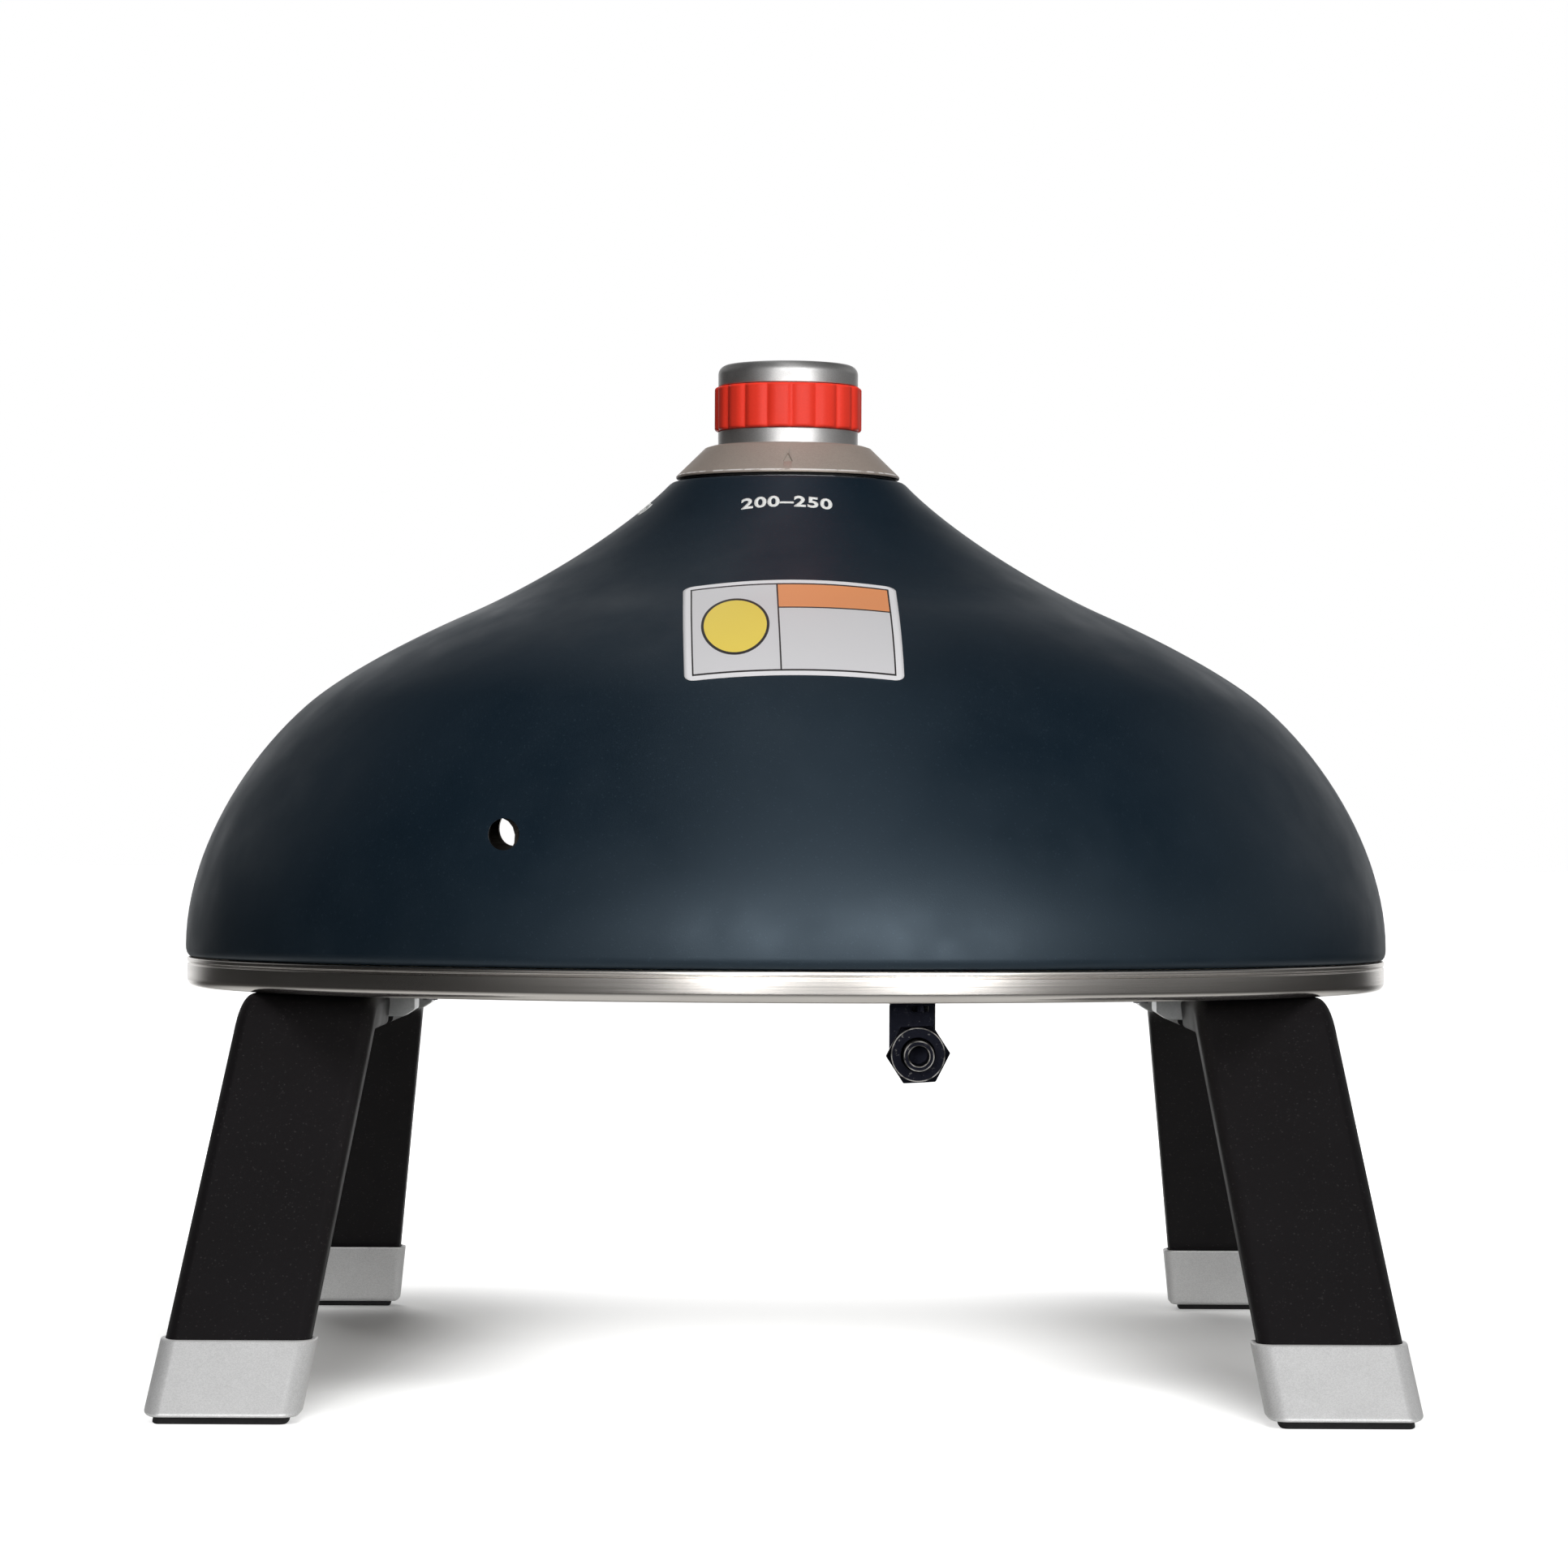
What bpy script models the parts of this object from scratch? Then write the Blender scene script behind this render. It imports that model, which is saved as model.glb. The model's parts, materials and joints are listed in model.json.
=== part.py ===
"""Portable pizza oven: a domed gas oven on two folding leg frames.

Lengths are in metres. The floor is z = 0, the dome's axis is the Z axis, the
mouth faces +Y and the gas inlet is at the back, on the -Y side.
"""
import math

import bmesh
import bpy
from mathutils import Matrix, Vector
from mathutils.geometry import interpolate_bezier

# Clearances
GAP = 0.0003                    # between pieces that touch
RUNNING_GAP = 0.0006            # beside pieces that swing past each other
OVERRUN = 0.002                 # how far a cutter passes the face it opens

# Dome shell
DOME_RADIUS = 0.280
DOME_HEIGHT = 0.2226
DOME_WALL = 0.002
NECK_RADIUS = 0.0510
DOME_STEPS = 48
# Knots and handles of the dome's outline, from the neck down to the widest ring,
# as shares of the way out from the neck and of the height.
DOME_CURVE_SHARES = (
    (0.0196, 0.9937), (0.1179, 0.8895), (0.3070, 0.7729),
    (0.4354, 0.7152), (0.5296, 0.6725), (0.6821, 0.5935),
    (0.7591, 0.5229), (0.8947, 0.3980), (1.0000, 0.2017), (1.0000, 0.0234),
)
TUCK_SHARES = ((0.9982, 0.0085), (0.9895, 0.0000))

# Base pan, with its steel rim band
BASE_CLEARANCE = 0.175
RIM_SETBACK = 0.0007            # inside the dome's widest ring
RIM_HEIGHT = 0.0135
RIM_CORNER = 0.0038
PAN_WALL = 0.0015

# Liner, blanket and hearth
LINER_OFFSET = 0.020
LINER_WALL = 0.0015
LINER_SHOULDER_SHARE = 0.4323   # of the way out from the neck
CROWN_DROP = 0.0486             # of the liner's top below the neck's edge
CROWN_FLAT_RADIUS = 0.055
BLANKET_CLEARANCE = 0.0008
BLANKET_TOP_SHARE = 0.2664      # of the way out from the neck
BOARD_THICKNESS = 0.0128
PLATE_THICKNESS = 0.0015
PLATE_TONGUE_SETBACK = 0.003    # inside the dome's widest ring
STONE_RADIUS = 0.160
STONE_THICKNESS = 0.012
STONE_CHAMFER = 0.0015

# Mouth
MOUTH_HALF_WIDTH = 0.165
MOUTH_SPRING_HEIGHT = 0.0583    # of the straight sides above the hearth plate
MOUTH_RISE = 0.050
MOUTH_FRAME_WALL = 0.003
MOUTH_FRAME_PROUD = 0.004
MOUTH_ARC_POINTS = 14

# Sight hole in the back wall
SIGHT_HOLE_RADIUS = 0.0075
SIGHT_HOLE_X = -0.126
SIGHT_HOLE_HEIGHT = 0.241
SIGHT_HOLE_ANGLE = math.radians(8)

# Crown: gasket, ring, collar and the plate that carries the valve
CROWN_RING_RADIUS = 0.065
CROWN_RING_BORE = 0.040
SPIGOT_RADIUS = 0.0500
GASKET_THICKNESS = 0.0006
COLLAR_RADIUS = 0.0524
COLLAR_SHOULDER_RADIUS = 0.0385
COLLAR_HEIGHT = 0.0161
COLLAR_EDGE = 0.0008
VALVE_PLATE_THICKNESS = 0.002
VALVE_PLATE_RADIUS = 0.052
CROWN_SCREW_COUNT = 3
CROWN_SCREW_CIRCLE = 0.0442
CROWN_SCREW_RADIUS = 0.002
CROWN_SCREW_HEAD_RADIUS = 0.0036
CROWN_SCREW_HEAD = 0.003
CROWN_SCREW_BITE = 0.0055

# Dial
DIAL_RADIUS = 0.0328
DIAL_TOP_FLAT_RADIUS = 0.0235
DIAL_SHOULDER = 0.0050
DIAL_WALL = 0.0025
DIAL_HEIGHT = 0.0541            # of the dial's top above the collar's lower edge
DIAL_SKIRT_DEPTH = 0.0050       # of the skirt below the collar's top
DIAL_PRESS_DEPTH = 0.004
GROOVE_DEPTH = 0.0020
GRIP_RADIUS = 0.0345
GRIP_HEIGHT = 0.0207
GRIP_DROP = 0.0111              # of the grip's top below the dial's top
FLUTE_COUNT = 18
FLUTE_DEPTH = 0.0009
FLUTE_POINTS = 6
HUB_RADIUS = 0.0075
HUB_CLEARANCE = 0.0020          # above the bonnet when the dial is pushed down

# Valve
SPINDLE_RADIUS = 0.004
SPINDLE_SHOULDER_RADIUS = 0.007
SPINDLE_SHOULDER = 0.002
SPINDLE_END_DEPTH = 0.009       # in the plug
VALVE_RADIUS = 0.015
VALVE_HEIGHT = 0.0255
VALVE_FLOOR = 0.003
PLUG_RADIUS = 0.009
PLUG_PORT_DEPTH = 0.0185
PLUG_PORT_RADIUS = 0.002
BONNET_RADIUS = 0.0125
BONNET_BORE = 0.0085
BONNET_HEIGHT = 0.0125
BONNET_ROOF = 0.0015
SPRING_RADIUS = 0.0062
SPRING_WIRE_RADIUS = 0.0006
SPRING_TURNS = 3.5
SPRING_POINTS_PER_TURN = 10
BOSS_RADIUS = 0.0065
BOSS_REACH = 0.021
MAGNET_RADIUS = 0.007
MAGNET_LENGTH = 0.0175

# Ignition and flame sensing
IGNITER_RADIUS = 0.0065
IGNITER_LENGTH = 0.022
IGNITER_PLACE = 0.029           # from the dome's axis
IGNITER_STAND = 0.005           # above the valve plate
LEAD_RADIUS = 0.0012
LEAD_SAG = 0.003
ELECTRODE_RADIUS = 0.0025
ELECTRODE_TIP_RADIUS = 0.0009
ELECTRODE_PLACE = 0.0445
ELECTRODE_STAND = 0.0075        # above the liner
ELECTRODE_REACH = 0.012         # below the liner's crown
ELECTRODE_TIP = 0.014
PROBE_RADIUS = 0.0014
PROBE_REACH = 0.026

# Burner
JET_RADIUS = 0.0045
JET_LENGTH = 0.0065
JET_BORE = 0.0009
MIXER_RADIUS = 0.011
MIXER_WALL = 0.0015
MIXER_FLANGE_RADIUS = 0.017
MIXER_FLANGE = 0.0015
MIXER_LENGTH = 0.028
BURNER_RADIUS = 0.038
BURNER_WALL = 0.0015
BURNER_HEIGHT = 0.012
BURNER_SKIRT = 0.007
BURNER_DROP = 0.0165            # of the burner's top below the liner's crown
BURNER_PORTS = 12
BURNER_PORT_RADIUS = 0.0014

# Gas inlet
INLET_X = 0.0578
INLET_SETBACK = 0.0735          # of the bracket's rear face inside the widest ring
INLET_DROP = 0.0246             # of the inlet's axis below the base pan
INLET_PLATE_WIDTH = 0.0192
INLET_PLATE_THICKNESS = 0.002
INLET_PLATE_BELOW = 0.0105      # of the plate below the inlet's axis
INLET_FOOT = 0.018
TAIL_RADIUS = 0.0066
TAIL_LENGTH = 0.0255
TAIL_BORE = 0.0042
NUT_ACROSS_FLATS = 0.024
NUT_THICKNESS = 0.008
NUT_CHAMFER = 0.0012
NUT_TURN = math.radians(27)
ELBOW_SHOULDER_RADIUS = 0.0095
ELBOW_SHOULDER = 0.005
ELBOW_RADIUS = 0.0080
ELBOW_SETBACK = 0.0145          # of the upright leg in front of the plate
PIPE_RADIUS = 0.003
PIPE_BITE = 0.007
PIPE_LEVEL = 0.0065             # of the pipe's run above the pan's floor
PIPE_BEND = 0.008
PIPE_SPACING = 0.014
PIPE_HOLE_RADIUS = 0.0045
CHANNEL_RADIUS = 0.0045

# Leg frames
LEG_WIDTH = 0.0615
LEG_THICKNESS = 0.016
LEG_SETBACK = 0.1035            # of its inner side at the top, inside the widest ring
LEG_LEAN = 0.156                # outward run for each unit of drop
LEG_SPLAY = math.radians(38.2)
LEG_FOOT_REACH = 0.005          # of a leg's centre line at the floor, beyond the widest ring
LEG_OUTER_CORNER = 0.006
LEG_INNER_CORNER = 0.002
LEG_LEAST_CORNER = 0.0006       # of a section that is inset from the leg's
LEG_BEND_RADIUS = 0.014         # on the inside of the bend
LEG_BEND_STEPS = 5
CORNER_STEPS = 3

# Foot caps and pads
CAP_WALL = 0.00225
CAP_HEIGHT = 0.030
CAP_CHAMFER = 0.0013
CAP_SOCKET_FLOOR = 0.009
PAD_HEIGHT = 0.0026
PAD_INSET = 0.0045

# Hinges of the leg frames
HINGE_DROP = 0.007              # of the hinge axis below the leg frame's top
HINGE_BRACKET_Y = 0.060
HINGE_BRACKET_LENGTH = 0.030
HINGE_NOTCH_DEPTH = 0.0078      # beyond the hinge axis
LUG_RADIUS = 0.0052
LUG_REACH = 0.0145              # from the hinge axis towards the middle
LUG_CORNER = 0.0022
FLANGE_REACH = 0.0255
FLANGE_THICKNESS = 0.0024
PIN_RADIUS = 0.0025
PIN_BITE = 0.010                # into the leg frame beside the notch
BASE_SCREW_RADIUS = 0.002
BASE_SCREW_HEAD_RADIUS = 0.0036
BASE_SCREW_HEAD = 0.0024
BASE_SCREW_BITE = 0.003         # above the pan's underside
BASE_SCREW_PLACE = 0.0205       # from the hinge axis towards the middle

# Facets
ROUND_SIDES = 28
SMALL_SIDES = 16
HOLE_SIDES = 10
SMOOTH_ANGLE = math.radians(32)
MERGE_DISTANCE = 0.00001

# Radii, places and levels worked out from the sizes above
FLANK = DOME_RADIUS - NECK_RADIUS
RIM_RADIUS = DOME_RADIUS - RIM_SETBACK
LINER_RADIUS = DOME_RADIUS - LINER_OFFSET
LINER_SHOULDER_RADIUS = NECK_RADIUS + LINER_SHOULDER_SHARE * FLANK
BLANKET_TOP_RADIUS = NECK_RADIUS + BLANKET_TOP_SHARE * FLANK
PLATE_TONGUE_RADIUS = DOME_RADIUS - PLATE_TONGUE_SETBACK
INLET_Y = INLET_SETBACK - DOME_RADIUS
LEG_INNER_X = DOME_RADIUS - LEG_SETBACK
LEG_FOOT_Y = DOME_RADIUS + LEG_FOOT_REACH
RIM_TOP = BASE_CLEARANCE + RIM_HEIGHT
DOME_BOTTOM = RIM_TOP + GAP
DOME_TOP = DOME_BOTTOM + DOME_HEIGHT
PAN_FLOOR = BASE_CLEARANCE + PAN_WALL
BOARD_TOP = PAN_FLOOR + GAP + BOARD_THICKNESS
HEARTH_TOP = BOARD_TOP + GAP + PLATE_THICKNESS
CROWN_TOP = DOME_TOP - CROWN_DROP
GASKET_BOTTOM = DOME_TOP + GAP + GAP
COLLAR_BOTTOM = GASKET_BOTTOM + GASKET_THICKNESS + GAP
COLLAR_TOP = COLLAR_BOTTOM + COLLAR_HEIGHT
DIAL_TOP = COLLAR_BOTTOM + DIAL_HEIGHT
GRIP_TOP = DIAL_TOP - GRIP_DROP
GRIP_BOTTOM = GRIP_TOP - GRIP_HEIGHT
INLET_Z = BASE_CLEARANCE - INLET_DROP
ELBOW_Y = INLET_Y + ELBOW_SETBACK + INLET_PLATE_THICKNESS
LEG_TOP = BASE_CLEARANCE - GAP
HINGE_Z = LEG_TOP - HINGE_DROP
HINGE_X = LEG_INNER_X + LEG_OUTER_CORNER + LEG_LEAN * LEG_OUTER_CORNER
PIPE_AZIMUTH = math.atan2(INLET_X, -ELBOW_Y)

# Name: base colour, roughness, metallic
FINISHES = {
    "powder_coat": ((0.012, 0.024, 0.034), 0.55, 0.0),
    "brushed_steel": ((0.52, 0.50, 0.48), 0.32, 1.0),
    "liner_steel": ((0.36, 0.34, 0.32), 0.45, 1.0),
    "wool": ((0.72, 0.70, 0.62), 0.95, 0.0),
    "board": ((0.62, 0.58, 0.50), 0.95, 0.0),
    "cordierite": ((0.60, 0.47, 0.32), 0.90, 0.0),
    "black_metal": ((0.018, 0.018, 0.020), 0.42, 0.6),
    "cast_aluminium": ((0.45, 0.45, 0.46), 0.45, 1.0),
    "taupe_paint": ((0.27, 0.24, 0.22), 0.42, 0.2),
    "silver_paint": ((0.48, 0.49, 0.50), 0.38, 0.7),
    "red_plastic": ((0.80, 0.045, 0.025), 0.38, 0.0),
    "brass": ((0.62, 0.42, 0.16), 0.35, 1.0),
    "spring_steel": ((0.40, 0.40, 0.42), 0.30, 1.0),
    "ceramic": ((0.80, 0.78, 0.72), 0.35, 0.0),
    "copper_pipe": ((0.60, 0.28, 0.16), 0.35, 1.0),
    "soft_black": ((0.014, 0.012, 0.013), 0.62, 0.0),
    "rubber": ((0.010, 0.010, 0.010), 0.80, 0.0),
}

PARTS = None
CUTTERS = None


def clear_scene():
    """Remove what the new file holds and make the two collections."""
    global PARTS, CUTTERS
    for obj in list(bpy.data.objects):
        bpy.data.objects.remove(obj, do_unlink=True)
    PARTS = bpy.data.collections.new("portable_pizza_oven")
    CUTTERS = bpy.data.collections.new("cutters")
    bpy.context.scene.collection.children.link(PARTS)
    bpy.context.scene.collection.children.link(CUTTERS)


def make_finishes():
    """Make one Principled material for each finish."""
    for name, (colour, roughness, metallic) in FINISHES.items():
        material = bpy.data.materials.new(name)
        material.use_nodes = True
        shader = material.node_tree.nodes["Principled BSDF"]
        shader.inputs["Base Color"].default_value = (*colour, 1.0)
        shader.inputs["Roughness"].default_value = roughness
        shader.inputs["Metallic"].default_value = metallic


def evaluated_mesh(obj):
    """Return the mesh that obj shows, with its doubles merged, and remove obj."""
    depsgraph = bpy.context.evaluated_depsgraph_get()
    mesh = bpy.data.meshes.new_from_object(obj.evaluated_get(depsgraph))
    mesh.transform(obj.matrix_world)
    bpy.data.objects.remove(obj, do_unlink=True)
    grid = bmesh.new()
    grid.from_mesh(mesh)
    bmesh.ops.remove_doubles(grid, verts=grid.verts, dist=MERGE_DISTANCE)
    grid.to_mesh(mesh)
    grid.free()
    return mesh


def part(name, mesh, finish, parent=None):
    """Make a named part from a mesh in world place."""
    mesh.name = name
    mesh.materials.clear()
    mesh.materials.append(bpy.data.materials[finish])
    mesh.shade_smooth()
    mesh.set_sharp_from_angle(angle=SMOOTH_ANGLE)
    obj = bpy.data.objects.new(name, mesh)
    PARTS.objects.link(obj)
    if parent is not None:
        obj.parent = parent
        obj.matrix_parent_inverse = Matrix.Translation(parent.location).inverted()
    return obj


def joint_empty(name, place):
    """Mark a joint's axis with an empty that its moving pieces hang from."""
    empty = bpy.data.objects.new(name, None)
    empty.location = place
    PARTS.objects.link(empty)
    return empty


def boolean(obj, mesh, operation="DIFFERENCE"):
    """Cut obj by a mesh, or join or cross it with the mesh."""
    cutter = bpy.data.objects.new(obj.name + "_cutter", mesh)
    cutter.hide_render = True
    cutter.display_type = "WIRE"
    CUTTERS.objects.link(cutter)
    modifier = obj.modifiers.new(operation.lower(), "BOOLEAN")
    modifier.operation = operation
    modifier.solver = "EXACT"
    modifier.object = cutter


def mesh_from_bmesh(grid, matrix):
    """Turn a bmesh into a placed mesh."""
    mesh = bpy.data.meshes.new("shape")
    grid.transform(matrix)
    grid.to_mesh(mesh)
    grid.free()
    return mesh


def block(size, centre):
    """Return a box mesh of a size about a centre."""
    grid = bmesh.new()
    bmesh.ops.create_cube(grid, size=1.0)
    return mesh_from_bmesh(grid, Matrix.Translation(centre) @ Matrix.Diagonal((*size, 1.0)))


def rod(start, end, radius, sides=ROUND_SIDES, end_radius=None, turn=0.0):
    """Return a capped cylinder or cone mesh that runs from start to end."""
    start = Vector(start)
    axis = Vector(end) - start
    grid = bmesh.new()
    bmesh.ops.create_cone(grid, cap_ends=True, segments=sides, radius1=radius,
                          radius2=radius if end_radius is None else end_radius, depth=axis.length)
    to_axis = Vector((0, 0, 1)).rotation_difference(axis).to_matrix().to_4x4()
    spin = Matrix.Rotation(turn, 4, "Z")
    return mesh_from_bmesh(grid, Matrix.Translation(start + axis / 2) @ to_axis @ spin)


def upright(x, y, low, high, radius, sides=ROUND_SIDES):
    """Return a cylinder mesh that stands along Z."""
    return rod((x, y, low), (x, y, high), radius, sides)


def turned(outline, steps, closed=True):
    """Return a solid of revolution about Z from an outline of (radius, height) points.

    The outline runs down the solid's outer side. An open one starts and ends on the axis.
    """
    mesh = bpy.data.meshes.new("outline")
    count = len(outline)
    edges = [(i, i + 1) for i in range(count - 1)]
    if closed:
        edges.append((count - 1, 0))
    mesh.from_pydata([(r, 0, z) for r, z in outline], edges, [])
    obj = bpy.data.objects.new("outline", mesh)
    CUTTERS.objects.link(obj)
    screw = obj.modifiers.new("turn", "SCREW")
    screw.axis = "Z"
    screw.steps = steps
    screw.render_steps = steps
    screw.use_merge_vertices = True
    screw.merge_threshold = MERGE_DISTANCE
    return evaluated_mesh(obj)


def prism(outlines, thickness, matrix=None):
    """Return a flat solid from outlines of (x, y) points; inner outlines are holes."""
    curve = bpy.data.curves.new("outline", "CURVE")
    curve.dimensions = "2D"
    curve.fill_mode = "BOTH"
    curve.extrude = thickness / 2
    for outline in outlines:
        spline = curve.splines.new("POLY")
        spline.points.add(len(outline) - 1)
        for point, (x, y) in zip(spline.points, outline):
            point.co = (x, y, 0, 1)
        spline.use_cyclic_u = True
    obj = bpy.data.objects.new("outline", curve)
    CUTTERS.objects.link(obj)
    mesh = evaluated_mesh(obj)
    if matrix is not None:
        mesh.transform(matrix)
    return mesh


def tube(points, radius, resolution=2):
    """Return a round solid bar along points."""
    curve = bpy.data.curves.new("path", "CURVE")
    curve.dimensions = "3D"
    curve.bevel_depth = radius
    curve.bevel_resolution = resolution
    curve.use_fill_caps = True
    spline = curve.splines.new("POLY")
    spline.points.add(len(points) - 1)
    for spline_point, place in zip(spline.points, points):
        spline_point.co = (*place, 1)
    obj = bpy.data.objects.new("path", curve)
    CUTTERS.objects.link(obj)
    return evaluated_mesh(obj)


def smooth_path(points, spacing):
    """Return points read at a spacing from a smooth curve through the given ones."""
    points = [Vector(point) for point in points]
    path = [points[0]]
    for i in range(len(points) - 1):
        before = points[max(i - 1, 0)]
        after = points[min(i + 2, len(points) - 1)]
        start, end = points[i], points[i + 1]
        reach = (end - start).length / 3
        leave = (end - before).normalized() * reach
        arrive = (after - start).normalized() * reach
        count = max(2, round((end - start).length / spacing) + 1)
        path.extend(interpolate_bezier(start, start + leave, end - arrive, end, count)[1:])
    return path


def arc(centre, radius, start, end, steps):
    """Return points on an arc; the angles are in degrees."""
    angles = [math.radians(start + (end - start) * i / steps) for i in range(steps + 1)]
    return [(centre[0] + radius * math.cos(a), centre[1] + radius * math.sin(a)) for a in angles]


def dome_outline(resolution=5):
    """Return the dome's outer outline, neck to widest ring, as (radius, height) points."""
    places = [(NECK_RADIUS + r * FLANK, DOME_BOTTOM + z * DOME_HEIGHT) for r, z in DOME_CURVE_SHARES]
    places = [Vector((*place, 0)) for place in places]
    outline = [(NECK_RADIUS, DOME_TOP), ((NECK_RADIUS + places[0].x) / 2, DOME_TOP - GAP)]
    outline.append((places[0].x, places[0].y))
    for i in range(0, len(places) - 1, 3):
        stretch = interpolate_bezier(*places[i:i + 4], resolution)
        outline.extend((p.x, p.y) for p in stretch[1:])
    return outline


def inset(outline, distance):
    """Return a downward outline moved inwards, square to itself."""
    moved = []
    for i, (r, z) in enumerate(outline):
        before = outline[max(i - 1, 0)]
        after = outline[min(i + 1, len(outline) - 1)]
        run = Vector((after[0] - before[0], after[1] - before[1])).normalized()
        moved.append((r + run.y * distance, z - run.x * distance))
    return moved


def wall_outline(distance, least_radius, bottom):
    """Return the dome's outline moved in by a distance, from a least radius down to a level."""
    points = inset(dome_outline(), distance)
    foot = DOME_RADIUS - distance
    points = [(min(r, foot), z) for r, z in points if r >= least_radius and z > bottom + GAP]
    return points + [(foot, bottom)]


def liner_outline(extra=0.0):
    """Return the liner's outer outline, crown to foot, moved outwards by an extra distance."""
    side = wall_outline(LINER_OFFSET - extra, LINER_SHOULDER_RADIUS, HEARTH_TOP + GAP)
    crown = CROWN_TOP + extra
    shoulder = Vector((*side[0], 0))
    run = (shoulder - Vector((*side[1], 0))).normalized()
    flat = Vector((CROWN_FLAT_RADIUS, crown, 0))
    reach = (shoulder - flat).length / 3
    bend = interpolate_bezier(flat, flat + Vector((reach, 0, 0)), shoulder + run * reach, shoulder, 6)
    return [(p.x, p.y) for p in bend[:-1]] + side


def radial(distance, azimuth, height):
    """Return a place at a distance from the axis; the azimuth is counted from -Y towards +X."""
    return (distance * math.sin(azimuth), -distance * math.cos(azimuth), height)


def mouth_arch(grow, bottom):
    """Return the mouth's outline, grown by a distance, down to a level."""
    half = MOUTH_HALF_WIDTH + grow
    spring = HEARTH_TOP + MOUTH_SPRING_HEIGHT
    rise = MOUTH_RISE + grow
    angles = [math.pi * i / MOUTH_ARC_POINTS for i in range(MOUTH_ARC_POINTS + 1)]
    arch = [(half * math.cos(a), spring + rise * math.sin(a)) for a in angles]
    return [(half, bottom)] + arch + [(-half, bottom)]


def mouth_prism(outlines):
    """Return a solid through the front wall, along Y."""
    turn = Matrix.Rotation(math.pi / 2, 4, "X")
    return prism(outlines, DOME_RADIUS, Matrix.Translation((0, DOME_RADIUS, 0)) @ turn)


def mouth_opening(obj, grow):
    """Cut the mouth through a wall."""
    boolean(obj, mouth_prism([mouth_arch(grow, BASE_CLEARANCE)]))


def sight_hole(obj, grow):
    """Cut the sight hole through a wall; it climbs a little on its way in."""
    depth = math.sqrt(DOME_RADIUS ** 2 - SIGHT_HOLE_X ** 2)
    climb = math.tan(SIGHT_HOLE_ANGLE) * (depth - LINER_OFFSET)
    level = SIGHT_HOLE_HEIGHT
    start = (SIGHT_HOLE_X, -depth - OVERRUN, level)
    end = (SIGHT_HOLE_X + LINER_OFFSET * 2, -LINER_OFFSET, level + climb)
    boolean(obj, rod(start, end, SIGHT_HOLE_RADIUS + grow, SMALL_SIDES))


def build_base_pan():
    """Make the steel pan, whose wall is the bright band under the dome."""
    inner = RIM_RADIUS - PAN_WALL
    corner = RIM_CORNER
    bend = RIM_CORNER - PAN_WALL
    outline = [(0, PAN_FLOOR), (inner - bend, PAN_FLOOR), (inner, PAN_FLOOR + bend), (inner, RIM_TOP)]
    outline += [(RIM_RADIUS, RIM_TOP)]
    outline += arc((RIM_RADIUS - corner, BASE_CLEARANCE + corner), corner, 0, -90, 4)
    outline += [(0, BASE_CLEARANCE)]
    pan = part("base_pan", turned(outline, DOME_STEPS, closed=False), "brushed_steel")
    below = BASE_CLEARANCE - OVERRUN
    above = PAN_FLOOR + OVERRUN
    boolean(pan, upright(INLET_X, ELBOW_Y, below, above, PIPE_HOLE_RADIUS, HOLE_SIDES))
    for x, y in base_screw_places():
        boolean(pan, upright(x, y, below, above, BASE_SCREW_RADIUS + GAP, HOLE_SIDES))


def base_screw_places():
    """Return where screws enter the base: one for each hinge bracket, one for the inlet bracket."""
    x = HINGE_X - BASE_SCREW_PLACE
    places = [(side * x, end * HINGE_BRACKET_Y) for side in (-1, 1) for end in (-1, 1)]
    return places + [(INLET_X, INLET_Y - INLET_FOOT / 2)]


def build_hearth():
    """Make the insulation board, the hearth plate with its tongue in the mouth, and the stone."""
    radius = LINER_RADIUS - GAP
    board = part("base_board", upright(0, 0, PAN_FLOOR + GAP, BOARD_TOP, radius, DOME_STEPS), "board")
    depth = BASE_CLEARANCE + BASE_SCREW_BITE + GAP
    for x, y in base_screw_places():
        boolean(board, upright(x, y, PAN_FLOOR, depth, BASE_SCREW_RADIUS + GAP, HOLE_SIDES))
    boolean(board, tube(pipe_route(), CHANNEL_RADIUS, 1))

    half = MOUTH_HALF_WIDTH - GAP
    leave = math.degrees(math.acos(half / radius))
    tip = math.degrees(math.acos(half / PLATE_TONGUE_RADIUS))
    outline = arc((0, 0), PLATE_TONGUE_RADIUS, tip, 180 - tip, DOME_STEPS // 3)
    outline += arc((0, 0), radius, 180 - leave, 360 + leave, DOME_STEPS)
    lift = Matrix.Translation((0, 0, HEARTH_TOP - PLATE_THICKNESS / 2))
    part("hearth_plate", prism([outline], PLATE_THICKNESS, lift), "liner_steel")

    low = HEARTH_TOP + GAP
    high = low + STONE_THICKNESS
    edge = STONE_RADIUS - STONE_CHAMFER
    outline = [(0, high), (edge, high), (STONE_RADIUS, high - STONE_CHAMFER)]
    outline += [(STONE_RADIUS, low + STONE_CHAMFER), (edge, low), (0, low)]
    part("pizza_stone", turned(outline, DOME_STEPS, closed=False), "cordierite")


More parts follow.
